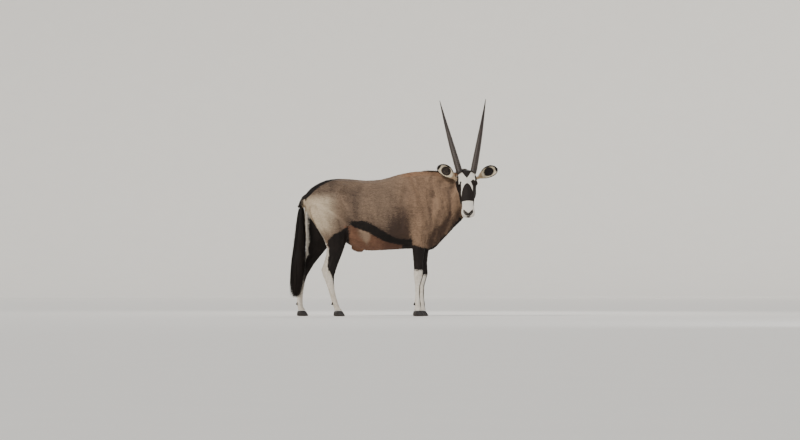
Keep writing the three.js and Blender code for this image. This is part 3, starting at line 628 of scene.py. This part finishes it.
def sample(mesh, count, density):
    """Random points on a mesh, their normals, and the corners each lies between with its share of each.

    density weighs each face by its centre in millimetres.
    """
    mesh.calc_loop_triangles()
    tri = read(mesh.loop_triangles, "vertices", 3)
    co, no = coords(mesh), normals(mesh)
    a, b, c = co[tri[:, 0]], co[tri[:, 1]], co[tri[:, 2]]
    area = np.linalg.norm(np.cross(b - a, c - a), axis=1)
    weight = area * density(to_mm((a + b + c) / 3))
    pick = rng.choice(len(tri), count, p=weight / weight.sum())
    r1, r2 = np.sqrt(rng.random(count)), rng.random(count)
    k = np.stack([1 - r1, r1 * (1 - r2), r1 * r2], axis=1)[:, :, None]
    p = (np.stack([a[pick], b[pick], c[pick]], axis=1) * k).sum(axis=1)
    n = (np.stack([no[tri[pick, i]] for i in range(3)], axis=1) * k).sum(axis=1)
    return p, unit(n), tri[pick], k[:, :, 0]


# A tuft's corners, as places on its patch of the bake's map, and that patch's size
TUFT_CORNERS = np.array([[0, 0], [1, 0], [1, 0.5], [0, 0.5], [0.5, 1]])
PATCH = 0.003
# How deep a tuft is rooted, in metres
ROOT_DEPTH = 0.0012


def coat_piece(name, p, n, length, width, lift, shares, material, way=None, uv=None):
    """One flat tapered tuft for each root: two root corners, two at the middle and a tip."""
    mm = to_mm(p)
    if way is None:
        way = flow(mm, n)
    way = unit(way + np.cross(n, way) * rng.normal(0, 0.16, len(p))[:, None])
    across = np.cross(n, way)
    length, width = (np.asarray(q)[:, None] / 1000 for q in (length, width))
    root = p - n * ROOT_DEPTH
    mid = root + way * length * 0.5 + n * length * lift * 0.75
    tip = root + way * length + n * length * lift
    verts = np.stack([
        root - across * width * 0.5, root + across * width * 0.5,
        mid + across * width * 0.42, mid - across * width * 0.42, tip], axis=1).reshape(-1, 3)
    base = np.arange(len(p)) * 5
    faces = np.concatenate([
        np.stack([base, base + 1, base + 2], 1), np.stack([base, base + 2, base + 3], 1),
        np.stack([base + 3, base + 2, base + 4], 1)])
    obj = new_object(name, verts, faces.tolist())
    set_shares(obj.data, **{key: np.repeat(values, 5) for key, values in shares.items()})
    set_shares(obj.data, tip=np.tile([0, 0, 0.5, 0.5, 1.0], len(p)))
    bake_patches(obj, unwrap(mm) if uv is None else uv, TUFT_CORNERS)
    finish_piece(obj, material)


def bake_patches(obj, roots, corners):
    """The bake's map: each tuft or lock is a small patch at its root's place on the unwrap."""
    loops = read(obj.data.loops, "vertex_index", 1)[:, 0]
    uv = (roots[:, None, :] + corners[None] * PATCH).reshape(-1, 2)[loops]
    layer = obj.data.uv_layers.new(name="OFBake")
    layer.data.foreach_set("uv", uv.astype(np.float32).ravel())


def finish_piece(obj, material, nodes=()):
    """Material, body, slot and the CAD nodes that the piece takes the place of."""
    obj.data.materials.clear()
    obj.data.materials.append(material)
    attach(obj, "root")
    if nodes:
        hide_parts(*nodes)


# Materials

def srgb(*colour):
    """A colour written from 0 to 255, as the linear one that the shader takes."""
    linear = [c / 255 / 12.92 if c / 255 <= 0.04045 else ((c / 255 + 0.055) / 1.055) ** 2.4 for c in colour]
    return (*linear, 1)


class Nodes:
    """A short way to write a node tree."""

    def __init__(self, name):
        self.material = bpy.data.materials.new(name)
        self.material.use_nodes = True
        self.tree = self.material.node_tree
        self.shader = self.tree.nodes["Principled BSDF"]

    def add(self, kind, **values):
        """A node with those settings, or input values."""
        node = self.tree.nodes.new(kind)
        for key, value in values.items():
            if hasattr(node, key):
                setattr(node, key, value)
            else:
                self.put(node.inputs[key], value)
        return node

    def put(self, socket, value):
        if isinstance(value, bpy.types.NodeSocket):
            self.tree.links.new(value, socket)
        else:
            socket.default_value = value

    def share(self, name):
        return self.add("ShaderNodeAttribute", attribute_name=name).outputs["Fac"]

    def fill(self, node, *values):
        """The node's output, with its first inputs set in order."""
        for socket, value in zip(node.inputs, values):
            self.put(socket, value)
        return node.outputs[0]

    def math(self, operation, a, b):
        return self.fill(self.add("ShaderNodeMath", operation=operation), a, b)

    def blend(self, factor, a, b, kind="MIX"):
        node = self.add("ShaderNodeMix", data_type="RGBA", blend_type=kind)
        self.put(node.inputs[0], factor)
        self.put(node.inputs[6], a)
        self.put(node.inputs[7], b)
        return node.outputs[2]

    def tone(self, value, dark, light):
        """From one colour to another, both written from 0 to 255."""
        return self.blend(value, srgb(*dark), srgb(*light))

    def scaled(self, value, by, plus):
        return self.math("ADD", self.math("MULTIPLY", value, by), plus)

    def ramp(self, value, low, high):
        """0 at low and before, 1 at high and after."""
        return self.fill(self.add("ShaderNodeMapRange", interpolation_type="SMOOTHSTEP"), value, low, high)

    def ragged(self, name, hair, low=0.3, high=0.7):
        """A share whose edge is broken up by the hair."""
        rough = self.math("MULTIPLY", self.math("SUBTRACT", hair, 0.5), 0.5)
        return self.ramp(self.math("ADD", self.share(name), rough), low, high)

    def noise(self, scale, detail=3.0, stretched=(1, 1, 1), turn=(0, 0, 0)):
        place = self.add("ShaderNodeTexCoord").outputs["Object"]
        place = self.add("ShaderNodeMapping", Vector=place, Scale=stretched, Rotation=turn).outputs[0]
        return self.add("ShaderNodeTexNoise", Vector=place, Scale=scale, Detail=detail).outputs["Fac"]

    def finish(self, colour, rough, specular=None, coat=None):
        """Links the colour and the roughness, and sets the plain inputs."""
        self.put(self.shader.inputs["Base Color"], colour)
        self.put(self.shader.inputs["Roughness"], rough)
        for key, value in (("Specular IOR Level", specular), ("Coat Weight", coat)):
            if value is not None:
                self.shader.inputs[key].default_value = value
        return self.material

    def bump(self, height, strength, distance):
        node = self.add("ShaderNodeBump", Height=height, Strength=strength, Distance=distance)
        self.put(self.shader.inputs["Normal"], node.outputs[0])


def coat_material(name, tufts):
    m = Nodes(name)
    hair = m.noise(90, 4, (0.25, 1, 1), (0, 0.3, 0))
    broad = m.noise(7, 3)
    shade = m.math("ADD", m.math("MULTIPLY", m.share("shade"), 0.6), m.math("MULTIPLY", hair, 0.4))
    fawn = m.tone(shade, (62, 48, 41), (154, 130, 108))
    brown = m.tone(shade, (70, 52, 41), (170, 139, 112))
    # paler rump and belly wedge, partly painted sunlight
    pale_and_sunlit = m.tone(shade, (168, 149, 124), (228, 211, 184))
    # painted shade tinted by red bounce light, on the belly and groin
    belly = m.tone(shade, (84, 56, 43), (146, 106, 82))
    # painted sunlight along the top of the neck and back
    crest = m.tone(shade, (132, 92, 64), (184, 136, 98))
    white = m.tone(shade, (178, 165, 146), (247, 243, 235))
    black = m.tone(shade, (8, 6, 6), (28, 20, 18))
    colour = m.blend(m.share("brown"), fawn, brown)
    colour = m.blend(m.math("MULTIPLY", m.share("crest"), 0.75), colour, crest)
    colour = m.blend(m.ragged("shaded_belly", hair, 0.25, 0.75), colour, belly)
    colour = m.blend(m.math("MULTIPLY", m.share("pale_and_sunlit"), 0.85), colour, pale_and_sunlit)
    colour = m.blend(m.ragged("white", hair), colour, white)
    colour = m.blend(m.ragged("black", hair), colour, black)
    if tufts:
        # each tuft is a little lighter towards its tip
        tone = m.scaled(m.share("tip"), 0.3, 0.86)
        grey = m.fill(m.add("ShaderNodeCombineColor"), tone, tone, tone)
        colour = m.blend(1.0, colour, grey, "MULTIPLY")
    colour = m.blend(m.math("MULTIPLY", broad, 0.06), colour, srgb(104, 84, 68))
    if not tufts:
        m.bump(hair, 0.6, 0.004)
    return m.finish(colour, m.scaled(hair, 0.2, 0.6), specular=0.25)


def horn_material(name, base, tip, grain):
    m = Nodes(name)
    streak = m.noise(60, 4, grain)
    speck = m.noise(240, 2)
    colour = m.blend(streak, base, tip)
    # paler where worn: on the hooves' lower edge wear, on the horns' ring crests partly wear and partly
    # painted highlight
    colour = m.blend(m.math("MULTIPLY", m.share("worn"), 0.55), colour, srgb(80, 67, 57))
    m.bump(m.math("ADD", streak, m.math("MULTIPLY", speck, 0.3)), 0.5, 0.002)
    return m.finish(colour, m.scaled(streak, 0.3, 0.3))


def eye_material():
    m = Nodes("eye")
    radial = m.share("iris")
    ring = m.ramp(radial, 0.62, 0.7)
    fibre = m.noise(500, 3)
    iris = m.tone(fibre, (16, 9, 6), (40, 23, 13))
    colour = m.blend(m.ramp(radial, 0.2, 0.28), srgb(4, 3, 3), iris)
    colour = m.blend(ring, colour, srgb(14, 10, 9))
    return m.finish(colour, m.scaled(fibre, 0.03, 0.05), specular=0.2, coat=0.1)


def hair_material(name, root, end):
    m = Nodes(name)
    strand = m.noise(180, 3, (1, 1, 0.08))
    root, end = m.blend(strand, root, srgb(26, 21, 19)), m.blend(strand, end, srgb(44, 34, 28))
    return m.finish(m.blend(m.share("tip"), root, end), m.scaled(strand, 0.25, 0.55), specular=0.2)


def ear_material():
    m = Nodes("ear_coat")
    hair = m.noise(160, 3, (1, 0.3, 1))
    white = m.tone(hair, (206, 190, 162), (242, 232, 210))
    grey = m.tone(hair, (146, 120, 92), (204, 180, 146))
    black = m.tone(hair, (10, 6, 6), (34, 20, 17))
    colour = m.blend(m.ragged("inner", hair), white, grey)
    colour = m.blend(m.ragged("black", hair), colour, black)
    m.bump(hair, 0.5, 0.002)
    return m.finish(colour, m.scaled(hair, 0.2, 0.65))


SKIN_LOOK = coat_material("coat_skin", False)
TUFT_LOOK = coat_material("coat_hair", True)
HORN_LOOK = horn_material("horn", srgb(19, 15, 14), srgb(58, 46, 39), (1, 1, 0.12))
HOOF_LOOK = horn_material("hoof", srgb(22, 19, 18), srgb(50, 43, 38), (1, 1, 0.3))
TAIL_LOOK = hair_material("tail_hair", srgb(7, 6, 6), srgb(18, 13, 12))
MANE_LOOK = hair_material("mane_hair", srgb(24, 18, 15), srgb(92, 62, 40))
EAR_LOOK = ear_material()
EYE_LOOK = eye_material()

# Skin

skin = build_skin()
skin_mm, skin_n = to_mm(coords(skin.data)), normals(skin.data)
set_shares(skin.data, **markings(skin_mm, skin_n))
finish_piece(skin, SKIN_LOOK, FLESH)

# Coat


def body_density(mm):
    return (1 - head_share(mm)) * (mm[:, 2] > 60) * (1 - dewclaw_share(mm, 14)) + 1e-9


def face_density(mm):
    local = head_local(mm)
    u, _, v = local.T
    off_nose = 1 - smooth(u, 352, 366) * smooth(v, -86, -78)
    off_eye = np.minimum.reduce([
        smooth(np.linalg.norm(local - EYE * [1, s, 1], axis=1), 22, 27) for _, s in SIDES])
    return head_share(mm) * off_nose * off_eye + 1e-9


BODY_PIECES = 4
BODY_TUFTS = 62000
FACE_TUFTS = 60000
EAR_TUFTS = 9000
TAIL_LOCKS = 5200
MANE_LOCKS = 4200


def build_coat():
    """Tufts over the body, longer on the neck and belly and short on the legs, and over the face."""
    for k in range(BODY_PIECES):
        p, n, *_ = sample(skin.data, BODY_TUFTS, body_density)
        mm = to_mm(p)
        low = smooth(mm[:, 2], 120, 640)
        neck = smooth(mm[:, 0], 260, 420)
        belly = fade(n[:, 2], -0.8, -0.2)
        length = (10 + 9 * low + 5 * neck + 3 * belly) * rng.uniform(0.7, 1.35, len(p))
        width = (2.6 + 2.0 * low) * rng.uniform(0.7, 1.3, len(p))
        lift = 0.07 + 0.07 * rng.random(len(p)) ** 2
        shares = markings(mm, n)
        # the shade may fall below 0 here, for the deep painted shade of the hollows, the low flank and the
        # chest
        shares["shade"] = np.clip(shares["shade"] + rng.normal(0, 0.2, len(p)), -0.4, 1)
        coat_piece(f"coat_body_{k + 1}", p, n, length, width, lift[:, None], shares, TUFT_LOOK)
    p, n, *_ = sample(skin.data, FACE_TUFTS, face_density)
    mm = to_mm(p)
    u, _, v = head_local(mm).T
    length = (6 + 5 * smooth(-v, 60, 150)) * rng.uniform(0.7, 1.3, len(p)) * (1 - 0.4 * smooth(u, 280, 370))
    shares = markings(mm, n)
    shares["shade"] = np.clip(shares["shade"] + rng.normal(0, 0.3, len(p)), -0.1, 1.1)
    coat_piece("coat_face", p, n, length, length * 0.22, 0.08, shares, TUFT_LOOK)


build_coat()

# Horns


def ring_mesh(name, rings, closed=True):
    count = len(rings[0])
    verts = np.concatenate(rings)
    faces = []
    for r in range(len(rings) - 1):
        for i in range(count):
            a, b = r * count + i, r * count + (i + 1) % count
            faces.append((a, b, b + count, a + count))
    if closed:
        faces.append(tuple(range(count))[::-1])
        faces.append(tuple((len(rings) - 1) * count + i for i in range(count)))
    return new_object(name, verts, faces)


HORN_LENGTH, HORN_RADIUS, HORN_SIDES = 840, 27, 36
# The share of the length from one ring to the next
RING_STEP = 0.0228


def horn_path(t, s):
    """The middle of a horn, at t from its base to its tip."""
    return np.array([
        20 - HORN_LENGTH * (0.945 * t - 0.012 * t * t),
        s * (55 + HORN_LENGTH * (0.19 * t - 0.025 * t * t)),
        -24 - HORN_LENGTH * (0.24 * t + 0.05 * t * t)])


def build_horn(name, s):
    angle = circle(HORN_SIDES)
    rings, worn = [], []
    ringed_steps, plain_steps = np.arange(0, 0.70, 0.0022), np.linspace(0.70, 0.985, 26)
    for t in (*ringed_steps, *plain_steps, 0.993, 0.998, 1.0):
        centre = horn_path(t, s)
        ahead = unit(horn_path(t + 0.01, s) - centre)
        across = unit(np.cross([0, 1, 0], ahead))
        other = np.cross(ahead, across)
        phase = (t - 0.03) / RING_STEP + 0.10 * np.sin(angle + s) + 0.16 * math.sin(37 * t)
        tooth = 0.5 + 0.5 * np.cos(2 * math.pi * phase)
        ringed = smooth(t, 0.012, 0.04) * fade(t, 0.5, 0.68)
        high = 2.5 * ringed * (1 - 0.5 * t) * (tooth ** 1.6 - 0.2) * (1 + 0.16 * np.sin(3 * angle + 50 * t))
        base = 0.6 + 0.4 * math.sqrt(1 - (1 - min(1, (t + 0.004) / 0.022)) ** 2)
        grain = 0.35 * np.sin(angle * 7 + 3 * t) * (1 - t)
        radius = HORN_RADIUS * base * (1 - 0.91 * t ** 1.65) + high + grain
        ring = centre + radius[:, None] * (
            1.06 * np.cos(angle)[:, None] * across + 0.96 * np.sin(angle)[:, None] * other)
        rings.append(to_m(head_world(ring)))
        # the ring crests are paler, partly wear and partly painted highlight
        worn.append(ringed * tooth)
    obj = ring_mesh(name + "_sheath", rings)
    set_shares(obj.data, worn=np.concatenate(worn))
    finish_piece(obj, HORN_LOOK, [name])


for side, s in SIDES:
    build_horn("horn_" + side, s)

# Ears: the source's cupped leaf, with more and rounder steps

EAR_ROOT = np.array([47, 98, -58])
EAR_LENGTH, EAR_RADIUS = 172, 50
EAR_LIFT, EAR_BACK = {-1: math.radians(34), 1: math.radians(24)}, math.radians(9)


def ear_frame(s):
    """The ways that an ear's cup opens, that it points and that it is wide, and its root."""
    lift, back = EAR_LIFT[s], EAR_BACK
    length = unit(np.array([s * math.cos(lift) * math.cos(back), math.sin(back), math.sin(lift)]))
    opening = np.array([s * 0.1, -1, -0.16])
    opening = unit(opening - length * opening.dot(length))
    return opening, length, np.cross(opening, length) * s, head_world(EAR_ROOT * [1, s, 1])


def ear_point(t, share, depth, s):
    """A point of the ear: t along it, share from -1 to 1 across it from rim to rim, depth into its wall."""
    leaf_out = math.sin(math.pi / 2 * min(1, max(0, t / 0.55))) ** 1.3
    leaf_end = max(0.14, math.sqrt(1 - min(1, max(0, (t - 0.55) / 0.45)) ** 2.4))
    radius = EAR_RADIUS * (0.3 + 0.7 * leaf_out) * leaf_end
    wrap = (160 - 68 * min(1, t * 2.2)) - 12 * t
    angle = np.radians(wrap * share)
    wall = 1.0 + (8 + (3.4 - 8) * min(1, t * 2.5)) * depth * (1 - 0.6 * np.abs(share) ** 4)
    r = radius - wall
    opening, length, width, root = ear_frame(s)
    a = -0.62 * r * np.cos(angle) + 16 * math.sin(math.pi * t)
    c = r * np.sin(angle) + 12 * math.sin(math.pi * t)
    return root + np.outer(a, opening) + EAR_LENGTH * t * length + np.outer(c, width)


def build_ear(name, s):
    rings, inner, black = [], [], []
    across = np.linspace(-1, 1, 25)
    for t in (*np.linspace(-0.3, 0.0, 7), *np.linspace(0.03, 0.86, 28), *np.linspace(0.88, 1.0, 14)):
        ring = np.concatenate([ear_point(max(t, 0), across, 0, s), ear_point(max(t, 0), across[::-1], 1, s)])
        if t < 0:
            # the root narrows as it goes into the head
            middle = ring.mean(axis=0)
            ring = middle + (ring - middle) * (1 + 1.5 * t) + EAR_LENGTH * t * ear_frame(s)[1]
        rings.append(to_m(ring))
        # dark oval in the outer half of the cup, cream round it, buff at its root and a black rim
        oval = fade(np.hypot((across + 0.04) / 0.66, (t - 0.56) / 0.26), 0.84, 1.08)
        buff = fade(t, 0.12, 0.26)
        inner.append(np.concatenate([0.75 + 0 * across, np.maximum(oval[::-1], buff * 0.7)]))
        rim = np.where(across > 0, smooth(across, 0.6, 0.7), smooth(-across, 0.8, 0.88))
        edge = np.maximum(rim * smooth(t, 0.16, 0.3), smooth(t, 0.88, 0.92))
        spine = np.maximum(edge, 0.3 * band(across, 0, 0.2, 0.1))
        black.append(np.concatenate([spine, np.maximum(edge, oval * 0.95)[::-1]]))
    obj = ring_mesh(name + "_skin", rings)
    shares = {"inner": np.concatenate(inner), "black": np.concatenate(black)}
    set_shares(obj.data, **shares)
    finish_piece(obj, EAR_LOOK, [name])
    ear_hair(name + "_hair", obj.data, shares, s)


def ear_hair(name, mesh, shares, s):
    """Fine hair over the ear, lying towards its tip."""
    opening, length, width, root = ear_frame(s)
    p, n, corners, k = sample(mesh, EAR_TUFTS, lambda mm: smooth((mm - root) @ length, 4, 20) + 1e-9)
    way = unit(length + 0.35 * n - n * (n @ length)[:, None])
    shares = {key: (values[corners] * k).sum(axis=1) for key, values in shares.items()}
    local = to_mm(p) - root
    front = (n @ opening > 0) * 0.5
    uv = np.stack([0.05 + 0.9 * local @ length / 190, 0.25 + 0.0036 * local @ width + front], 1)
    size = rng.uniform(6, 11, len(p))
    coat_piece(name, p, n, size, size * 0.16, 0.1, shares, EAR_LOOK, way, np.clip(uv, 0.01, 0.98))


for side, s in SIDES:
    build_ear("ear_" + side, s)

# Eyes

EYE_RADIUS = 18.9
# Angles from the gaze at which the pupil and the iris end
PUPIL_END, IRIS_END = 0.42, 0.75


def build_eye(name, s):
    centre = head_world(EYE * [1, s, 1])
    gaze = unit(HEAD @ (GAZE * [1, s, 1]))
    level = unit(np.cross(gaze, [0, 0, 1.0]))
    up = np.cross(level, gaze)
    angle = circle(32)
    around = np.cos(angle)[:, None] * level + np.sin(angle)[:, None] * up
    rings, iris = [], []
    for lat in np.radians(np.linspace(2, 178, 40)):
        bulge = 1 + 0.035 * math.exp(-((lat / 0.5) ** 2))
        rings.append(to_m(centre + EYE_RADIUS * bulge * (math.cos(lat) * gaze + math.sin(lat) * around)))
        # a long level pupil
        flat = np.hypot(np.cos(angle) * 0.62, np.sin(angle) * 1.7)
        place = np.clip(lat * np.where(lat < PUPIL_END, flat, 1.0) / 1.05, 0, 1)
        iris.append(np.where(lat > IRIS_END, 1.0, place))
    obj = ring_mesh(name + "_ball", rings)
    set_shares(obj.data, iris=np.concatenate(iris))
    finish_piece(obj, EYE_LOOK, [name])


for side, s in SIDES:
    build_eye("eye_" + side, s)

# Hooves


def build_claw(node):
    """The source's claw, rounded, with fine growth lines."""
    part = solid_of(node)
    mesh = bpy.data.meshes.new(node + "_horn")
    part.to_mesh(mesh)
    part.free()
    obj = add_object(node + "_horn", mesh)
    modifier = obj.modifiers.new("Round", "SUBSURF")
    modifier.levels = modifier.render_levels = 2
    obj.data = applied(obj)
    obj.modifiers.clear()
    co = coords(obj.data)
    low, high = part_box(node)
    # back out to the source's size, since rounding draws it in
    for k in range(3):
        lo, hi = co[:, k].min(), co[:, k].max()
        co[:, k] = low[k] + (co[:, k] - lo) / (hi - lo) * (high[k] - low[k])
    n = normals(obj.data)
    level = to_mm(co)[:, 2]
    steps = np.sin(level / 1.35) * 0.25 * smooth(level, 4, 10)
    co += n * (steps / 1000)[:, None] * smooth(1 - np.abs(n[:, 2]), 0.2, 0.5)[:, None]
    set_coords(obj.data, co)
    shade_smooth(obj.data)
    set_shares(obj.data, worn=0.5 * fade(to_mm(co)[:, 2], 2, 16))
    finish_piece(obj, HOOF_LOOK, [node])


for limb in LIMBS:
    for part_name in ("outer", "inner"):
        build_claw(f"claw_{limb}_{part_name}")

# Long hair


def strands(name, roots, aims, droops, lengths, widths, flats, material, nodes, stations, uv):
    """Fine flat locks, each a tapered ribbon of two edges with a point at its end.

    A lock goes from its root along its aim and bends by its droop. flats is the way that it is wide.
    """
    count = len(roots)
    per = stations * 2 + 1
    verts = np.empty((count, per, 3))
    tips = np.empty(per)
    for k in range(stations + 1):
        t = k / stations
        centre = roots + aims * lengths[:, None] * t + droops * lengths[:, None] * t * t
        if k == stations:
            verts[:, -1], tips[-1] = centre, 1
            break
        taper = (1 - t ** 2.2) * (0.6 + 0.4 * math.sin(math.pi * min(1, 0.15 + t)))
        verts[:, 2 * k] = centre - flats * (widths * taper)[:, None] / 2
        verts[:, 2 * k + 1] = centre + flats * (widths * taper)[:, None] / 2
        tips[2 * k: 2 * k + 2] = t
    quads = []
    for k in range(stations - 1):
        quads += [[2 * k, 2 * k + 1, 2 * k + 3], [2 * k, 2 * k + 3, 2 * k + 2]]
    quads.append([per - 3, per - 2, per - 1])
    base = (np.arange(count) * per)[:, None, None]
    faces = (base + np.array(quads)[None]).reshape(-1, 3)
    obj = new_object(name, to_m(verts.reshape(-1, 3)), faces.tolist())
    set_shares(obj.data, tip=np.tile(tips, count))
    steps = np.arange(per)
    bake_patches(obj, uv, np.stack([steps % 2, steps / per], 1))
    finish_piece(obj, material, nodes)


# The middle of the tail's hair from its root down, and its half width there
TAIL = np.array([
    [-738, 0, 985], [-768, -2, 925], [-775, -3, 850], [-781, -4, 740], [-791, -4, 620], [-804, -4, 480],
    [-812, -4, 350], [-813, -4, 245], [-812, -4, 200]], float)
TAIL_HALF = np.array([26, 25, 27, 36, 44, 49, 42, 26, 12], float)


def tail_at(t):
    """The tail's middle and half width, at t from its root to its end."""
    place = np.clip(t, 0, 1) * (len(TAIL) - 1)
    index = np.arange(len(TAIL))
    middle = np.stack([np.interp(place, index, values) for values in TAIL.T], 1)
    return middle, np.interp(place, index, TAIL_HALF)


def build_tail_hair():
    count = TAIL_LOCKS
    t = 0.17 + 0.72 * rng.random(count) ** 1.1
    centre, half = tail_at(t)
    angle = rng.random(count) * 2 * math.pi
    out = np.stack([np.cos(angle), np.sin(angle), 0 * angle], 1)
    roots = centre + out * [1, 0.7, 1] * (half * rng.uniform(0.3, 0.95, count))[:, None]
    end = 150 + 150 * rng.random(count) ** 1.6
    lengths = np.minimum(roots[:, 2] - end, rng.uniform(150, 430, count))
    loose = rng.normal(0, 0.035, (count, 3)) * [1, 1, 0]
    aims = out * [0.15, 0.12, 0] + [-0.02, 0, -1] + loose
    droops = -out * [0.11, 0.09, 0] - loose * rng.uniform(0, 1.4, (count, 1))
    flats = np.stack([-out[:, 1], out[:, 0], 0 * angle], 1)
    tail_uv = np.stack([0.55 + 0.4 * t, 0.68 + 0.28 * angle / (2 * math.pi)], 1)
    widths = rng.uniform(3.0, 6.5, count)
    strands("tail_hair", roots, aims, droops, lengths, widths, flats, TAIL_LOOK, ["tail"], 6, tail_uv)


def build_tail_core():
    """A close dark core inside the tail's hair."""
    rings, angle = [], circle(14)
    for t in np.linspace(0.12, 0.93, 26):
        (centre,), (half,) = tail_at(np.array([t]))
        wobble = 1 + 0.12 * np.sin(angle * 3 + 9 * t)
        out = np.stack([np.cos(angle), np.sin(angle), 0 * angle], 1)
        rings.append(to_m(centre + half * 0.66 * wobble[:, None] * out))
    core = ring_mesh("tail_core", rings)
    set_shares(core.data, tip=np.zeros(len(core.data.vertices)))
    finish_piece(core, TAIL_LOOK)


# How far the crest lies to the left, from the withers to the poll
MANE_LINE = ([240, 400, 462, 513, 552, 581, 604], [0, 2, 0, -18, -47, -84, -120])


def build_mane():
    """Short hair that stands along the crest and leans back."""
    crest = skin_mm[(skin_mm[:, 0] > 240) & (skin_n[:, 2] > 0.86) & (skin_mm[:, 2] > 1120)]
    line = []
    for x0 in np.arange(250, 606, 8.0):
        near = crest[np.abs(crest[:, 0] - x0) < 9]
        if len(near):
            line.append(near[near[:, 2].argmax()])
    line = np.array(line)
    line[:, 1] = np.interp(line[:, 0], *MANE_LINE)
    count = MANE_LOCKS
    place = rng.random(count) * (len(line) - 1.01)
    index = place.astype(int)
    p = line[index] + (line[index + 1] - line[index]) * (place - index)[:, None]
    ahead = line[np.minimum(index + 1, len(line) - 1)] - line[np.maximum(index - 1, 0)]
    ahead[:, 2] = 0
    ahead = unit(ahead)
    side = np.stack([-ahead[:, 1], ahead[:, 0], 0 * ahead[:, 0]], 1)
    spread = rng.normal(0, 1, count)
    up = np.array([0, 0, 1.0])
    roots = p + side * (spread * 6)[:, None] - 4.0 * up - up * (spread ** 2)[:, None]
    aims = -ahead * 0.62 + 0.62 * up + side * (0.22 * spread)[:, None] + rng.normal(0, 0.08, (count, 3))
    droops = -ahead * 0.3 - 0.4 * up + rng.normal(0, 0.05, (count, 3))
    grown = 0.55 + 0.45 * smooth(p[:, 0], 250, 330)
    lengths = rng.uniform(30, 56, count) * grown
    widths = rng.uniform(1.8, 3.4, count)
    flats = side * 0.4 + ahead * 0.9
    strands("mane_hair", roots, aims, droops, lengths, widths, flats, MANE_LOOK, ["mane"], 4, unwrap(p))


build_tail_hair()
build_tail_core()
build_mane()

# Stage: a plain pale floor and backdrop, soft light and the photograph's viewpoint


def plain_material(name, colour, rough):
    m = Nodes(name)
    grain = m.noise(3, 4)
    darker = (*(c * 0.9 for c in colour[:3]), 1)
    return m.finish(m.blend(m.math("MULTIPLY", grain, 0.35), colour, darker), rough)


# The floor is a wide round bowl: flat far past every camera place, then curving up to a low wall
FLAT_RADIUS, BEND_RADIUS, WALL_TOP, BOWL_SIDES = 38.0, 12.0, 15.0, 96
bend = [math.radians(a) for a in range(0, 91, 6)]
profile = [(FLAT_RADIUS + BEND_RADIUS * math.sin(a), BEND_RADIUS * (1 - math.cos(a))) for a in bend]
profile.append((FLAT_RADIUS + BEND_RADIUS, WALL_TOP))
bowl = [np.array([(r * math.cos(a), r * math.sin(a), z) for a in circle(BOWL_SIDES)]) for r, z in profile]
floor = ring_mesh("floor", bowl, closed=False)
floor_disc = bmesh.new()
floor_disc.from_mesh(floor.data)
floor_disc.verts.ensure_lookup_table()
floor_disc.faces.new(floor_disc.verts[:BOWL_SIDES])
floor_disc.to_mesh(floor.data)
floor_disc.free()
floor.data.materials.append(plain_material("floor", srgb(238, 236, 231), 0.9))

world = bpy.data.worlds.new("world")
bpy.context.scene.world = world
world.use_nodes = True
background = world.node_tree.nodes["Background"]
background.inputs["Color"].default_value = srgb(236, 238, 242)
background.inputs["Strength"].default_value = 0.62


def aim(obj, at):
    obj.rotation_euler = (Vector(at) - obj.location).to_track_quat("-Z", "Y").to_euler()


LIT = (0, 0, 0.8)


def lamp(name, at, size, power, colour):
    """A soft square light that the camera doesn't see."""
    data = bpy.data.lights.new(name, "AREA")
    data.size, data.energy, data.color = size, power, colour
    obj = add_object(name, data)
    obj.location = at
    obj.visible_camera = False
    aim(obj, LIT)


sun = add_object("sun", bpy.data.lights.new("sun", "SUN"))
sun.data.energy, sun.data.angle, sun.data.color = 2.3, math.radians(14), (1.0, 0.95, 0.88)
sun.location = (-4.2, -4.4, 6.2)
aim(sun, LIT)
lamp("fill", (4.5, -6.0, 2.2), 4.0, 70, (0.94, 0.96, 1.0))
lamp("rim", (1.0, 4.2, 4.0), 2.5, 90, (1.0, 0.97, 0.93))

SUBJECT = to_m([50, 0, 800])
DISTANCE, CAMERA_HEIGHT, SENSOR = 28.0, 0.25, 36
# The picture is this many pixels wide, and one shows this many metres of the animal
PICTURE_WIDTH, PIXEL = 800, 0.00833
camera = add_object("camera", bpy.data.cameras.new("camera"))
camera.location = (SUBJECT[0], -DISTANCE, CAMERA_HEIGHT)
camera.data.sensor_width = SENSOR
camera.data.lens = SENSOR * DISTANCE / (PICTURE_WIDTH * PIXEL)
camera.data.clip_end = 200
aim(camera, SUBJECT)
bpy.context.scene.camera = camera
